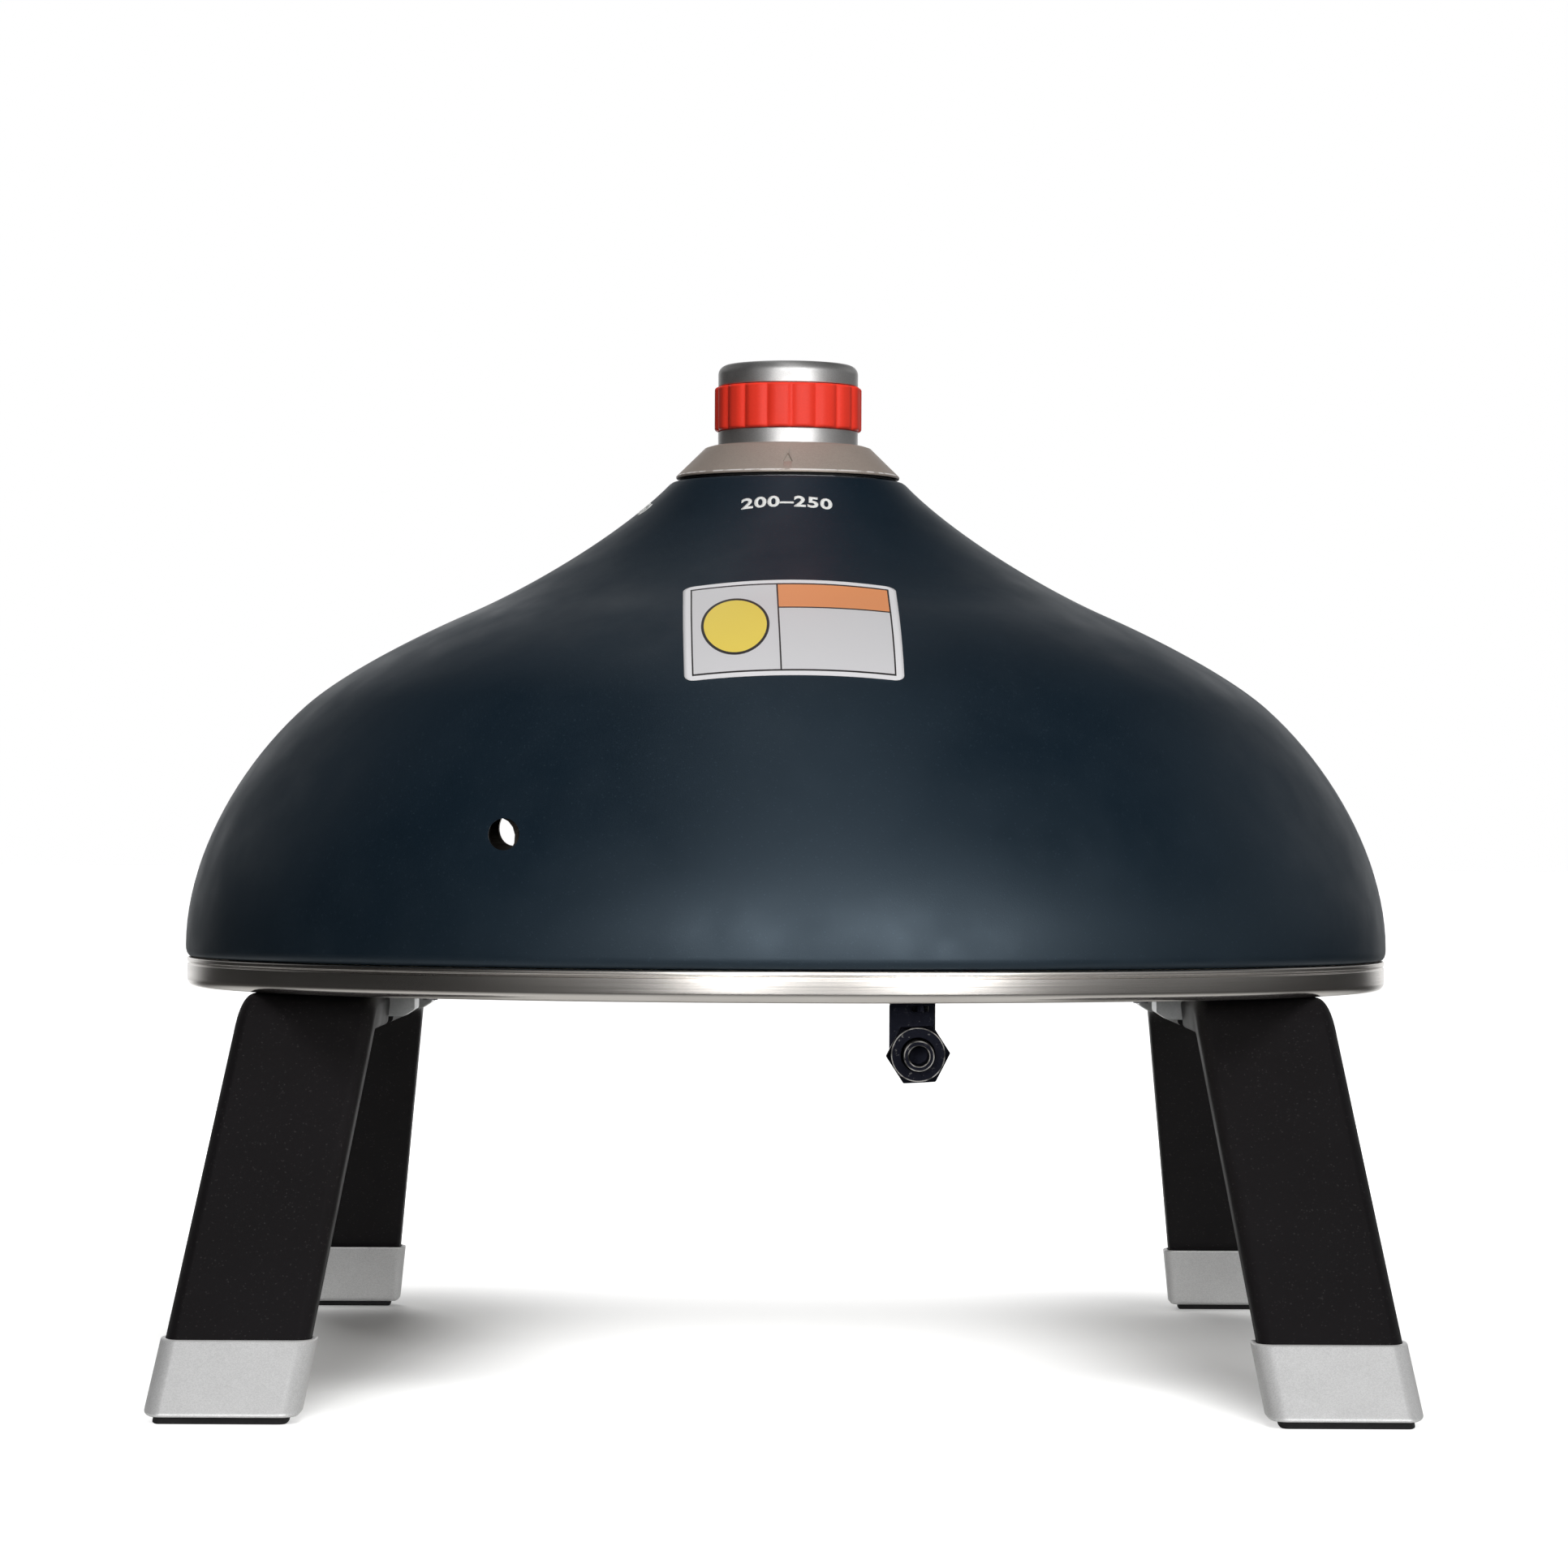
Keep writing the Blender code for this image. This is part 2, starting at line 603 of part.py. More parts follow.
def build_dome():
    """Make the dome shell, the liner, the blanket between them and the frame of the mouth."""
    outer = dome_outline()
    inner = inset(outer, DOME_WALL)
    inner[-1] = (DOME_RADIUS - DOME_WALL, outer[-1][1])
    tuck = [(NECK_RADIUS + r * FLANK, DOME_BOTTOM + z * DOME_HEIGHT) for r, z in TUCK_SHARES]
    foot = (tuck[-1][0] - DOME_WALL, DOME_BOTTOM)
    shell = part("dome_shell", turned(outer + tuck + [foot] + inner[::-1], DOME_STEPS), "powder_coat")
    mouth_opening(shell, MOUTH_FRAME_WALL + GAP)
    sight_hole(shell, 0)

    outer = [(MIXER_RADIUS + GAP, CROWN_TOP)] + liner_outline()
    inner = [(MIXER_RADIUS + GAP, CROWN_TOP - LINER_WALL)] + liner_outline(-LINER_WALL)
    liner = part("dome_liner", turned(outer + inner[::-1], DOME_STEPS), "liner_steel")
    mouth_opening(liner, MOUTH_FRAME_WALL + GAP)
    sight_hole(liner, 0)
    low = CROWN_TOP - LINER_WALL - OVERRUN
    high = CROWN_TOP + OVERRUN
    boolean(liner, upright(ELECTRODE_PLACE, 0, low, high, ELECTRODE_RADIUS + GAP, HOLE_SIDES))
    x, y, _ = radial(ELECTRODE_PLACE, PIPE_AZIMUTH + math.pi, high)
    boolean(liner, upright(x, y, low, high, PROBE_RADIUS + GAP, HOLE_SIDES))

    bottom = DOME_BOTTOM + DOME_CURVE_SHARES[-1][1] * DOME_HEIGHT
    side = wall_outline(DOME_WALL + BLANKET_CLEARANCE, BLANKET_TOP_RADIUS, bottom)
    lining = liner_outline(BLANKET_CLEARANCE)
    lining = [(r, z) for r, z in lining if r >= BLANKET_TOP_RADIUS and z > bottom]
    lining.append((LINER_RADIUS + BLANKET_CLEARANCE, bottom))
    blanket = part("insulation_blanket", turned(side + lining[::-1], DOME_STEPS), "wool")
    mouth_opening(blanket, MOUTH_FRAME_WALL + BLANKET_CLEARANCE)
    sight_hole(blanket, BLANKET_CLEARANCE)
    boolean(blanket, tube(pipe_route(), CHANNEL_RADIUS, 1))

    frame_bottom = HEARTH_TOP + GAP
    arches = [mouth_arch(MOUTH_FRAME_WALL, frame_bottom), mouth_arch(0, frame_bottom)]
    arch = arches[0] + arches[1][::-1]
    frame = part("mouth_frame", mouth_prism([arch]), "black_metal")
    depth = LINER_OFFSET + LINER_WALL + GAP
    reach = MOUTH_HALF_WIDTH
    side = wall_outline(-MOUTH_FRAME_PROUD, reach, BASE_CLEARANCE)
    lining = wall_outline(depth, reach, BASE_CLEARANCE)
    boolean(frame, turned(side + lining[::-1], DOME_STEPS), "INTERSECT")


def crown_ring_outline():
    """Return the part of the dome's inner face that the crown ring fits."""
    outline = inset(dome_outline(), DOME_WALL + GAP)
    above = [(r, z) for r, z in outline if r < CROWN_RING_RADIUS]
    (near, high), (far, low) = above[-1], outline[len(above)]
    share = (CROWN_RING_RADIUS - near) / (far - near)
    contact = [(r, z) for r, z in above if r > SPIGOT_RADIUS]
    return contact + [(CROWN_RING_RADIUS, high + (low - high) * share)]


def crown_screw_places():
    """Return the screws' places round the crown."""
    angles = [math.tau * i / CROWN_SCREW_COUNT + math.pi / 2 for i in range(CROWN_SCREW_COUNT)]
    return [(CROWN_SCREW_CIRCLE * math.cos(a), CROWN_SCREW_CIRCLE * math.sin(a)) for a in angles]


def valve_plate_top():
    """Return the level of the valve plate's upper face, under the crown ring."""
    return crown_ring_outline()[-1][1] - GAP


def valve_top():
    """Return the level of the valve body's upper face, under the valve plate."""
    return valve_plate_top() - VALVE_PLATE_THICKNESS - GAP


def build_crown():
    """Make the ring, gasket and collar that grip the neck, the valve plate and the screws."""
    contact = crown_ring_outline()
    low = contact[-1][1]
    high = DOME_TOP + GAP
    outline = [(SPIGOT_RADIUS, high), (SPIGOT_RADIUS, contact[0][1])] + contact
    outline += [(CROWN_RING_BORE, low), (CROWN_RING_BORE, high)]
    ring = part("crown_ring", turned(outline, ROUND_SIDES), "cast_aluminium")

    low = GASKET_BOTTOM
    high = low + GASKET_THICKNESS
    outline = [(SPIGOT_RADIUS, high), (SPIGOT_RADIUS, low), (CROWN_RING_BORE, low), (CROWN_RING_BORE, high)]
    gasket = part("neck_gasket", turned(outline, ROUND_SIDES), "rubber")

    bore = DIAL_RADIUS + RUNNING_GAP
    outline = [(COLLAR_SHOULDER_RADIUS - COLLAR_EDGE, COLLAR_TOP)]
    outline += [(COLLAR_SHOULDER_RADIUS, COLLAR_TOP - COLLAR_EDGE)]
    outline += [(COLLAR_RADIUS, COLLAR_BOTTOM + COLLAR_EDGE), (COLLAR_RADIUS, COLLAR_BOTTOM)]
    outline += [(bore, COLLAR_BOTTOM), (bore, COLLAR_TOP)]
    collar = part("dial_collar", turned(outline, DOME_STEPS), "taupe_paint")

    high = valve_plate_top()
    low = high - VALVE_PLATE_THICKNESS
    plate = part("valve_plate", upright(0, 0, low, high, VALVE_PLATE_RADIUS), "brushed_steel")
    under, over = low - OVERRUN, high + OVERRUN
    boolean(plate, upright(0, 0, under, over, BONNET_RADIUS + GAP))
    boolean(plate, upright(IGNITER_PLACE, 0, under, over, IGNITER_RADIUS + GAP, SMALL_SIDES))

    tip = COLLAR_BOTTOM + CROWN_SCREW_BITE
    head_top = low - GAP
    for i, (x, y) in enumerate(crown_screw_places()):
        shank = upright(x, y, head_top - CROWN_SCREW_HEAD / 2, tip, CROWN_SCREW_RADIUS, HOLE_SIDES)
        head = upright(x, y, head_top - CROWN_SCREW_HEAD, head_top, CROWN_SCREW_HEAD_RADIUS, SMALL_SIDES)
        screw = part(f"crown_screw_{i + 1}", head, "spring_steel")
        boolean(screw, shank, "UNION")
        for holder in (ring, gasket, collar, plate):
            boolean(holder, upright(x, y, under, tip + GAP, CROWN_SCREW_RADIUS + GAP, HOLE_SIDES))


def build_dial(dial_axis):
    """Make the dial's cap, with its hub, and the fluted grip ring in its groove."""
    groove = DIAL_RADIUS - GROOVE_DEPTH
    inner = groove - DIAL_WALL
    skirt = COLLAR_TOP - DIAL_SKIRT_DEPTH
    ceiling = DIAL_TOP - DIAL_WALL
    hub_bottom = valve_top() + BONNET_HEIGHT + DIAL_PRESS_DEPTH + HUB_CLEARANCE
    bore = SPINDLE_RADIUS + GAP
    shoulder = DIAL_RADIUS - DIAL_TOP_FLAT_RADIUS
    outline = [(0, DIAL_TOP)]
    for _, (c, s) in enumerate(arc((0, 0), 1, 90, 0, 5)):
        outline.append((DIAL_TOP_FLAT_RADIUS + shoulder * c, DIAL_TOP - DIAL_SHOULDER * (1 - s)))
    outline += [(DIAL_RADIUS, GRIP_TOP + GAP), (groove, GRIP_TOP + GAP)]
    outline += [(groove, GRIP_BOTTOM - GAP), (DIAL_RADIUS, GRIP_BOTTOM - GAP)]
    outline += [(DIAL_RADIUS, skirt), (inner, skirt)]
    outline += [(inner, ceiling - DIAL_SHOULDER), (DIAL_TOP_FLAT_RADIUS, ceiling), (HUB_RADIUS, ceiling)]
    outline += [(HUB_RADIUS, hub_bottom), (bore, hub_bottom), (bore, ceiling), (0, ceiling)]
    part("dial_cap", turned(outline, ROUND_SIDES, closed=False), "silver_paint", dial_axis)

    count = FLUTE_COUNT * FLUTE_POINTS
    angles = [math.tau * i / count for i in range(count)]
    scallop = [1 - abs(math.cos(a * FLUTE_COUNT / 2)) for a in angles]
    radii = [GRIP_RADIUS - FLUTE_DEPTH * (1 - s) for s in scallop]
    rim = [(r * math.cos(a), r * math.sin(a)) for r, a in zip(radii, angles)]
    seat = arc((0, 0), groove + GAP, 0, 360, ROUND_SIDES)[:-1]
    lift = Matrix.Translation((0, 0, (GRIP_TOP + GRIP_BOTTOM) / 2))
    part("dial_grip", prism([rim, seat], GRIP_HEIGHT, lift), "red_plastic", dial_axis)

    top = valve_top()
    tip = top - SPINDLE_END_DEPTH
    ledge = top + BONNET_HEIGHT - BONNET_ROOF - GAP
    end = ceiling - GAP
    wide = SPINDLE_SHOULDER_RADIUS
    outline = [(0, end), (SPINDLE_RADIUS, end), (SPINDLE_RADIUS, ledge), (wide, ledge)]
    outline += [(wide, ledge - SPINDLE_SHOULDER), (SPINDLE_RADIUS, ledge - SPINDLE_SHOULDER)]
    outline += [(SPINDLE_RADIUS, tip), (0, tip)]
    part("valve_spindle", turned(outline, SMALL_SIDES, closed=False), "spring_steel", dial_axis)


def build_valve(dial_axis):
    """Make the valve body, its plug, bonnet and return spring, and the magnet unit."""
    top = valve_top()
    bottom = top - VALVE_HEIGHT
    bore = PLUG_RADIUS + GAP
    plug_top = top - GAP
    plug_bottom = bottom + VALVE_FLOOR
    outlet = PLUG_PORT_RADIUS + GAP
    port = top - PLUG_PORT_DEPTH
    outline = [(VALVE_RADIUS, top), (VALVE_RADIUS, bottom), (outlet, bottom)]
    outline += [(outlet, plug_bottom - GAP), (bore, plug_bottom - GAP), (bore, top)]
    body = part("valve_body", turned(outline, ROUND_SIDES), "brass")
    inside = radial(PLUG_RADIUS + GAP + PLUG_PORT_RADIUS, PIPE_AZIMUTH, port)
    boolean(body, rod(inside, radial(BOSS_REACH, PIPE_AZIMUTH, port), BOSS_RADIUS, SMALL_SIDES), "UNION")
    mouth = radial(BOSS_REACH + OVERRUN, PIPE_AZIMUTH, port)
    boolean(body, rod(radial(PLUG_RADIUS, PIPE_AZIMUTH, port), mouth, PIPE_RADIUS + GAP, HOLE_SIDES))

    socket = SPINDLE_RADIUS + GAP
    socket_floor = top - SPINDLE_END_DEPTH - DIAL_PRESS_DEPTH - GAP
    outline = [(0, socket_floor), (socket, socket_floor), (socket, plug_top)]
    outline += [(PLUG_RADIUS, plug_top), (PLUG_RADIUS, plug_bottom), (0, plug_bottom)]
    plug = part("valve_plug", turned(outline, ROUND_SIDES, closed=False), "brass", dial_axis)
    way_out = upright(0, 0, plug_bottom - OVERRUN, port, PLUG_PORT_RADIUS, HOLE_SIDES)
    boolean(plug, way_out)
    edge = radial(PLUG_RADIUS + OVERRUN, PIPE_AZIMUTH, port)
    boolean(plug, rod((0, 0, port), edge, PLUG_PORT_RADIUS, HOLE_SIDES, turn=GAP))

    low = top + GAP
    high = top + BONNET_HEIGHT
    roof = high - BONNET_ROOF
    outline = [(BONNET_RADIUS, high), (BONNET_RADIUS, low), (BONNET_BORE, low)]
    outline += [(BONNET_BORE, roof), (SPINDLE_RADIUS + GAP, roof), (SPINDLE_RADIUS + GAP, high)]
    part("valve_bonnet", turned(outline, ROUND_SIDES), "brass")

    low = plug_top + SPRING_WIRE_RADIUS + GAP
    high = roof - GAP - SPINDLE_SHOULDER - SPRING_WIRE_RADIUS - GAP
    count = round(SPRING_TURNS * SPRING_POINTS_PER_TURN)
    wire = []
    for i in range(count + 1):
        angle = math.tau * i / SPRING_POINTS_PER_TURN
        level = low + (high - low) * i / count
        wire.append((SPRING_RADIUS * math.cos(angle), SPRING_RADIUS * math.sin(angle), level))
    part("return_spring", tube(wire, SPRING_WIRE_RADIUS, 1), "spring_steel", dial_axis)

    azimuth = PIPE_AZIMUTH + math.pi
    start = VALVE_RADIUS + GAP
    magnet = rod(radial(start, azimuth, port), radial(start + MAGNET_LENGTH, azimuth, port),
                 MAGNET_RADIUS, SMALL_SIDES)
    part("magnet_unit", magnet, "brass")
    flat = start + MAGNET_LENGTH + GAP
    bend = (flat + ELECTRODE_PLACE) / 2
    bend_level = (port + CROWN_TOP) / 2
    route = [radial(flat, azimuth, port), radial(bend, azimuth, port - LEAD_SAG / 2)]
    route += [radial(ELECTRODE_PLACE, azimuth, bend_level), radial(ELECTRODE_PLACE, azimuth, CROWN_TOP)]
    route += [radial(ELECTRODE_PLACE, azimuth, CROWN_TOP - PROBE_REACH)]
    part("thermocouple", tube(smooth_path(route, LEAD_SAG), PROBE_RADIUS), "spring_steel")


def build_igniter():
    """Make the piezo igniter, its lead and the electrode through the liner's crown."""
    high = valve_plate_top() + IGNITER_STAND
    low = high - IGNITER_LENGTH
    part("igniter", upright(IGNITER_PLACE, 0, low, high, IGNITER_RADIUS, SMALL_SIDES), "soft_black")
    top = CROWN_TOP + ELECTRODE_STAND
    bottom = CROWN_TOP - ELECTRODE_REACH
    place = ELECTRODE_PLACE
    sleeve = upright(place, 0, bottom, top, ELECTRODE_RADIUS, HOLE_SIDES)
    electrode = part("igniter_electrode", sleeve, "ceramic")
    wire = upright(place, 0, bottom - ELECTRODE_TIP, bottom + OVERRUN, ELECTRODE_TIP_RADIUS, HOLE_SIDES)
    boolean(electrode, wire, "UNION")
    middle = (IGNITER_PLACE + place) / 2
    route = [(IGNITER_PLACE, 0, low - GAP), (IGNITER_PLACE, 0, low - LEAD_SAG / 2)]
    route += [(middle, 0, low - LEAD_SAG), (place, 0, top + LEAD_SAG), (place, 0, top + GAP)]
    part("igniter_lead", tube(smooth_path(route, LEAD_SAG), LEAD_RADIUS), "soft_black")


def build_burner():
    """Make the jet, the mixing tube through the liner, and the burner's bell and lid."""
    top = valve_top() - VALVE_HEIGHT - GAP
    low = top - JET_LENGTH
    outline = [(JET_RADIUS, top), (JET_RADIUS, low), (JET_BORE, low), (JET_BORE, top)]
    part("gas_jet", turned(outline, HOLE_SIDES), "brass")

    flange_low = CROWN_TOP + GAP
    flange_top = flange_low + MIXER_FLANGE
    bore = MIXER_RADIUS - MIXER_WALL
    low = flange_top - MIXER_LENGTH
    outline = [(MIXER_FLANGE_RADIUS, flange_top), (MIXER_FLANGE_RADIUS, flange_low)]
    outline += [(MIXER_RADIUS, flange_low)]
    outline += [(MIXER_RADIUS, low), (bore, low), (bore, flange_top)]
    part("mixing_tube", turned(outline, ROUND_SIDES), "liner_steel")

    high = CROWN_TOP - BURNER_DROP
    low = high - BURNER_HEIGHT
    throat = MIXER_RADIUS + GAP
    slope = BURNER_HEIGHT - BURNER_SKIRT
    inner = BURNER_RADIUS - BURNER_WALL
    outline = [(throat, high), (BURNER_RADIUS - slope, high), (BURNER_RADIUS, high - slope)]
    outline += [(BURNER_RADIUS, low), (inner, low), (inner, high - slope)]
    outline += [(inner - slope + BURNER_WALL, high - BURNER_WALL), (throat, high - BURNER_WALL)]
    bell = part("burner_bell", turned(outline, ROUND_SIDES), "cast_aluminium")
    level = (low + high - slope) / 2 + BURNER_WALL / 2
    for i in range(BURNER_PORTS):
        azimuth = math.tau * (i + 1 / 2) / BURNER_PORTS
        start = radial(inner - OVERRUN, azimuth, level)
        boolean(bell, rod(start, radial(BURNER_RADIUS + OVERRUN, azimuth, level), BURNER_PORT_RADIUS, 6))
    lid_radius = inner - GAP
    part("burner_lid", upright(0, 0, low, low + BURNER_WALL, lid_radius), "cast_aluminium")


def pipe_route():
    """Return the gas pipe's path: up from the elbow, out in the base, up the wall, in to the valve."""
    azimuth = PIPE_AZIMUTH
    start = math.hypot(INLET_X, ELBOW_Y)
    level = PAN_FLOOR + PIPE_LEVEL
    wall = DOME_RADIUS - (DOME_WALL + LINER_OFFSET) / 2
    port = valve_top() - PLUG_PORT_DEPTH
    middle = wall_outline(DOME_RADIUS - wall, BLANKET_TOP_RADIUS - PIPE_BEND, level + PIPE_BEND * 2)
    bend_share = 0.3
    route = [(start, INLET_Z + ELBOW_RADIUS), (start, level - PIPE_BEND)]
    route += [(start + PIPE_BEND * bend_share, level - PIPE_BEND * bend_share), (start + PIPE_BEND, level)]
    route += [(wall - PIPE_BEND, level), (wall - PIPE_BEND * bend_share, level + PIPE_BEND * bend_share)]
    route += middle[::-1]
    top_r, top_z = middle[0]
    route += [((top_r + BOSS_REACH * 2) / 2, (top_z + port) / 2), (BOSS_REACH * 2, port)]
    route += [(BOSS_REACH + PIPE_BEND, port), (BOSS_REACH - PIPE_BITE, port)]
    return smooth_path([radial(r, azimuth, z) for r, z in route], PIPE_SPACING)


def build_gas_inlet():
    """Make the inlet bracket, the elbow fitting, its lock nut, the bracket's screw and the pipe."""
    plate_y = INLET_Y + INLET_PLATE_THICKNESS / 2
    top = BASE_CLEARANCE - GAP
    low = INLET_Z - INLET_PLATE_BELOW
    size = (INLET_PLATE_WIDTH, INLET_PLATE_THICKNESS, top - low)
    bracket = part("inlet_bracket", block(size, (INLET_X, plate_y, (top + low) / 2)), "black_metal")
    foot_size = (INLET_PLATE_WIDTH, INLET_FOOT, INLET_PLATE_THICKNESS)
    foot_y = INLET_Y + INLET_PLATE_THICKNESS / 2 - INLET_FOOT / 2
    boolean(bracket, block(foot_size, (INLET_X, foot_y, top - INLET_PLATE_THICKNESS / 2)), "UNION")
    hole = TAIL_RADIUS + GAP
    behind = INLET_Y - OVERRUN
    front = INLET_Y + INLET_PLATE_THICKNESS + OVERRUN
    boolean(bracket, rod((INLET_X, behind, INLET_Z), (INLET_X, front, INLET_Z), hole, SMALL_SIDES))

    x, y = base_screw_places()[-1]
    boolean(bracket, upright(x, y, top - OVERRUN * 2, top + OVERRUN, BASE_SCREW_RADIUS + GAP, HOLE_SIDES))
    base_screw("inlet_screw", x, y, top - INLET_PLATE_THICKNESS - GAP)

    tail_end = INLET_Y - TAIL_LENGTH
    seat = INLET_Y + INLET_PLATE_THICKNESS + GAP
    axis = (INLET_X, INLET_Z)
    tail = rod((axis[0], tail_end, axis[1]), (axis[0], ELBOW_Y, axis[1]), TAIL_RADIUS, SMALL_SIDES)
    fitting = part("inlet_elbow", tail, "black_metal")
    shoulder = rod((axis[0], seat, axis[1]), (axis[0], seat + ELBOW_SHOULDER, axis[1]),
                   ELBOW_SHOULDER_RADIUS, 6)
    boolean(fitting, shoulder, "UNION")
    elbow_top = BASE_CLEARANCE - PAN_WALL
    leg = upright(INLET_X, ELBOW_Y, INLET_Z - ELBOW_RADIUS, elbow_top, ELBOW_RADIUS, SMALL_SIDES)
    boolean(fitting, leg, "UNION")
    mouth = (axis[0], tail_end - OVERRUN, axis[1])
    boolean(fitting, rod(mouth, (axis[0], ELBOW_Y, axis[1]), TAIL_BORE, HOLE_SIDES))
    pipe_hole = PIPE_RADIUS + GAP
    boolean(fitting, upright(INLET_X, ELBOW_Y, INLET_Z, elbow_top + OVERRUN, pipe_hole, HOLE_SIDES))

    nut_front = INLET_Y - GAP
    nut_back = nut_front - NUT_THICKNESS
    corner = NUT_ACROSS_FLATS / math.sqrt(3)
    nut = rod((axis[0], nut_back, axis[1]), (axis[0], nut_front, axis[1]), corner, 6, turn=NUT_TURN)
    nut = part("lock_nut", nut, "black_metal")
    flat = NUT_ACROSS_FLATS / 2
    outline = [(flat, NUT_THICKNESS), (corner + GAP, NUT_THICKNESS - NUT_CHAMFER)]
    outline += [(corner + GAP, NUT_CHAMFER), (flat, 0), (hole, 0), (hole, NUT_THICKNESS)]
    place = Matrix.Translation((axis[0], nut_front, axis[1])) @ Matrix.Rotation(math.pi / 2, 4, "X")
    lens = turned(outline, ROUND_SIDES)
    lens.transform(place)
    boolean(nut, lens, "INTERSECT")

    part("gas_pipe", tube(pipe_route(), PIPE_RADIUS), "copper_pipe")


def base_screw(name, x, y, head_top):
    """Make a screw that goes up into the base pan, with its head below a flange."""
    head = upright(x, y, head_top - BASE_SCREW_HEAD, head_top, BASE_SCREW_HEAD_RADIUS, SMALL_SIDES)
    screw = part(name, head, "spring_steel")
    tip = BASE_CLEARANCE + BASE_SCREW_BITE
    shank = upright(x, y, head_top - BASE_SCREW_HEAD / 2, tip, BASE_SCREW_RADIUS, HOLE_SIDES)
    boolean(screw, shank, "UNION")


def leg_section(grow=0.0):
    """Return a leg's cross-section as (across, through) points.

    Across runs from the side that faces the middle to the outer side, and through
    runs from the inner face to the outer face, whose corners are rounder.
    """
    wide = LEG_WIDTH + grow
    deep = LEG_THICKNESS + grow
    outer = LEG_OUTER_CORNER + grow
    inner = max(LEG_INNER_CORNER + grow, LEG_LEAST_CORNER)
    section = arc((inner - grow, inner - grow), inner, 180, 270, CORNER_STEPS - 1)
    section += arc((wide - inner, inner - grow), inner, 270, 360, CORNER_STEPS - 1)
    section += arc((wide - outer, deep - outer), outer, 0, 90, CORNER_STEPS)
    section += arc((outer - grow, deep - outer), outer, 90, 180, CORNER_STEPS)
    return section


def leg_centre_y(level):
    """Return the distance of a leg's centre line from the XZ plane at a level."""
    return LEG_FOOT_Y - level * math.tan(LEG_SPLAY)


def level_station(level):
    """Return the inner and outer (y, z) points of a leg cut level with the floor."""
    half = LEG_THICKNESS / 2 / math.cos(LEG_SPLAY)
    y = leg_centre_y(level)
    return (y - half, level), (y + half, level)


def leg_ring(station, grow, side):
    """Return a ring of points round a leg's section; the legs lean outwards as they go down."""
    (inner_y, inner_z), (outer_y, outer_z) = station
    ring = []
    for across, through in leg_section(grow):
        share = through / LEG_THICKNESS
        y = inner_y + (outer_y - inner_y) * share
        z = inner_z + (outer_z - inner_z) * share
        x = LEG_INNER_X + across + LEG_LEAN * (LEG_TOP - z)
        ring.append((side * x, y, z))
    return ring


def loft(rings):
    """Return a solid through rings of points."""
    grid = bmesh.new()
    rings = [[grid.verts.new(place) for place in ring] for ring in rings]
    count = len(rings[0])
    for lower, upper in zip(rings, rings[1:]):
        for i in range(count):
            j = (i + 1) % count
            grid.faces.new((lower[i], lower[j], upper[j], upper[i]))
    grid.faces.new(rings[0][::-1])
    grid.faces.new(rings[-1])
    bmesh.ops.recalc_face_normals(grid, faces=grid.faces)
    return mesh_from_bmesh(grid, Matrix.Identity(4))


def foot_loft(levels, side, end):
    """Return a solid round one leg from (level, growth) pairs; end is 1 in front, -1 at the back."""
    rings = []
    for level, grow in levels:
        inner, outer = level_station(level)
        station = (end * inner[0], level), (end * outer[0], level)
        rings.append(leg_ring(station, grow, side))
    return loft(rings)


def leg_stations(end_level):
    """Return the stations of a leg frame from the front foot over the top to the back foot."""
    inner_radius = LEG_BEND_RADIUS
    outer_radius = LEG_BEND_RADIUS + LEG_THICKNESS
    middle_radius = (inner_radius + outer_radius) / 2
    centre_z = LEG_TOP - outer_radius
    bend_z = centre_z + middle_radius * math.sin(LEG_SPLAY)
    centre_y = leg_centre_y(bend_z) - middle_radius * math.cos(LEG_SPLAY)
    start = math.degrees(LEG_SPLAY)
    inner = arc((centre_y, centre_z), inner_radius, start, 90, LEG_BEND_STEPS)
    outer = arc((centre_y, centre_z), outer_radius, start, 90, LEG_BEND_STEPS)
    half = [level_station(end_level)] + list(zip(inner, outer))
    mirrored = [((-i[0], i[1]), (-o[0], o[1])) for i, o in half[::-1]]
    return half + mirrored


def build_leg_frame(side, name, hinge_axis):
    """Make one leg frame with its foot caps and pads, its brackets, hinge pins and screws."""
    cap_bottom = PAD_HEIGHT + GAP
    cap_top = cap_bottom + CAP_HEIGHT
    leg_end = cap_bottom + CAP_SOCKET_FLOOR
    rings = [leg_ring(station, 0, side) for station in leg_stations(leg_end)]
    frame = part(f"leg_frame_{name}", loft(rings), "soft_black", hinge_axis)

    for end, place in ((1, "front"), (-1, "rear")):
        levels = [(cap_bottom, CAP_WALL - CAP_CHAMFER), (cap_bottom + CAP_CHAMFER, CAP_WALL)]
        levels += [(cap_top - CAP_CHAMFER, CAP_WALL), (cap_top, CAP_WALL - CAP_CHAMFER)]
        cap = part(f"foot_cap_{name}_{place}", foot_loft(levels, side, end), "silver_paint", hinge_axis)
        boolean(cap, foot_loft([(leg_end - GAP, GAP), (cap_top + OVERRUN, GAP)], side, end))
        pad = foot_loft([(0, CAP_WALL - PAD_INSET), (PAD_HEIGHT, CAP_WALL - PAD_INSET)], side, end)
        part(f"foot_pad_{name}_{place}", pad, "rubber", hinge_axis)

        y = end * HINGE_BRACKET_Y
        notch = HINGE_BRACKET_LENGTH + 2 * RUNNING_GAP
        reach = LUG_REACH + HINGE_NOTCH_DEPTH
        centre_x = HINGE_X + HINGE_NOTCH_DEPTH - reach / 2
        boolean(frame, block((reach, notch, LEG_THICKNESS * 2), (side * centre_x, y, HINGE_Z)))
        boolean(frame, hinge_rod(side, y, GAP))
        part(f"hinge_pin_{name}_{place}", hinge_rod(side, y, 0), "spring_steel")
        build_hinge_bracket(side, y, f"{name}_{place}")


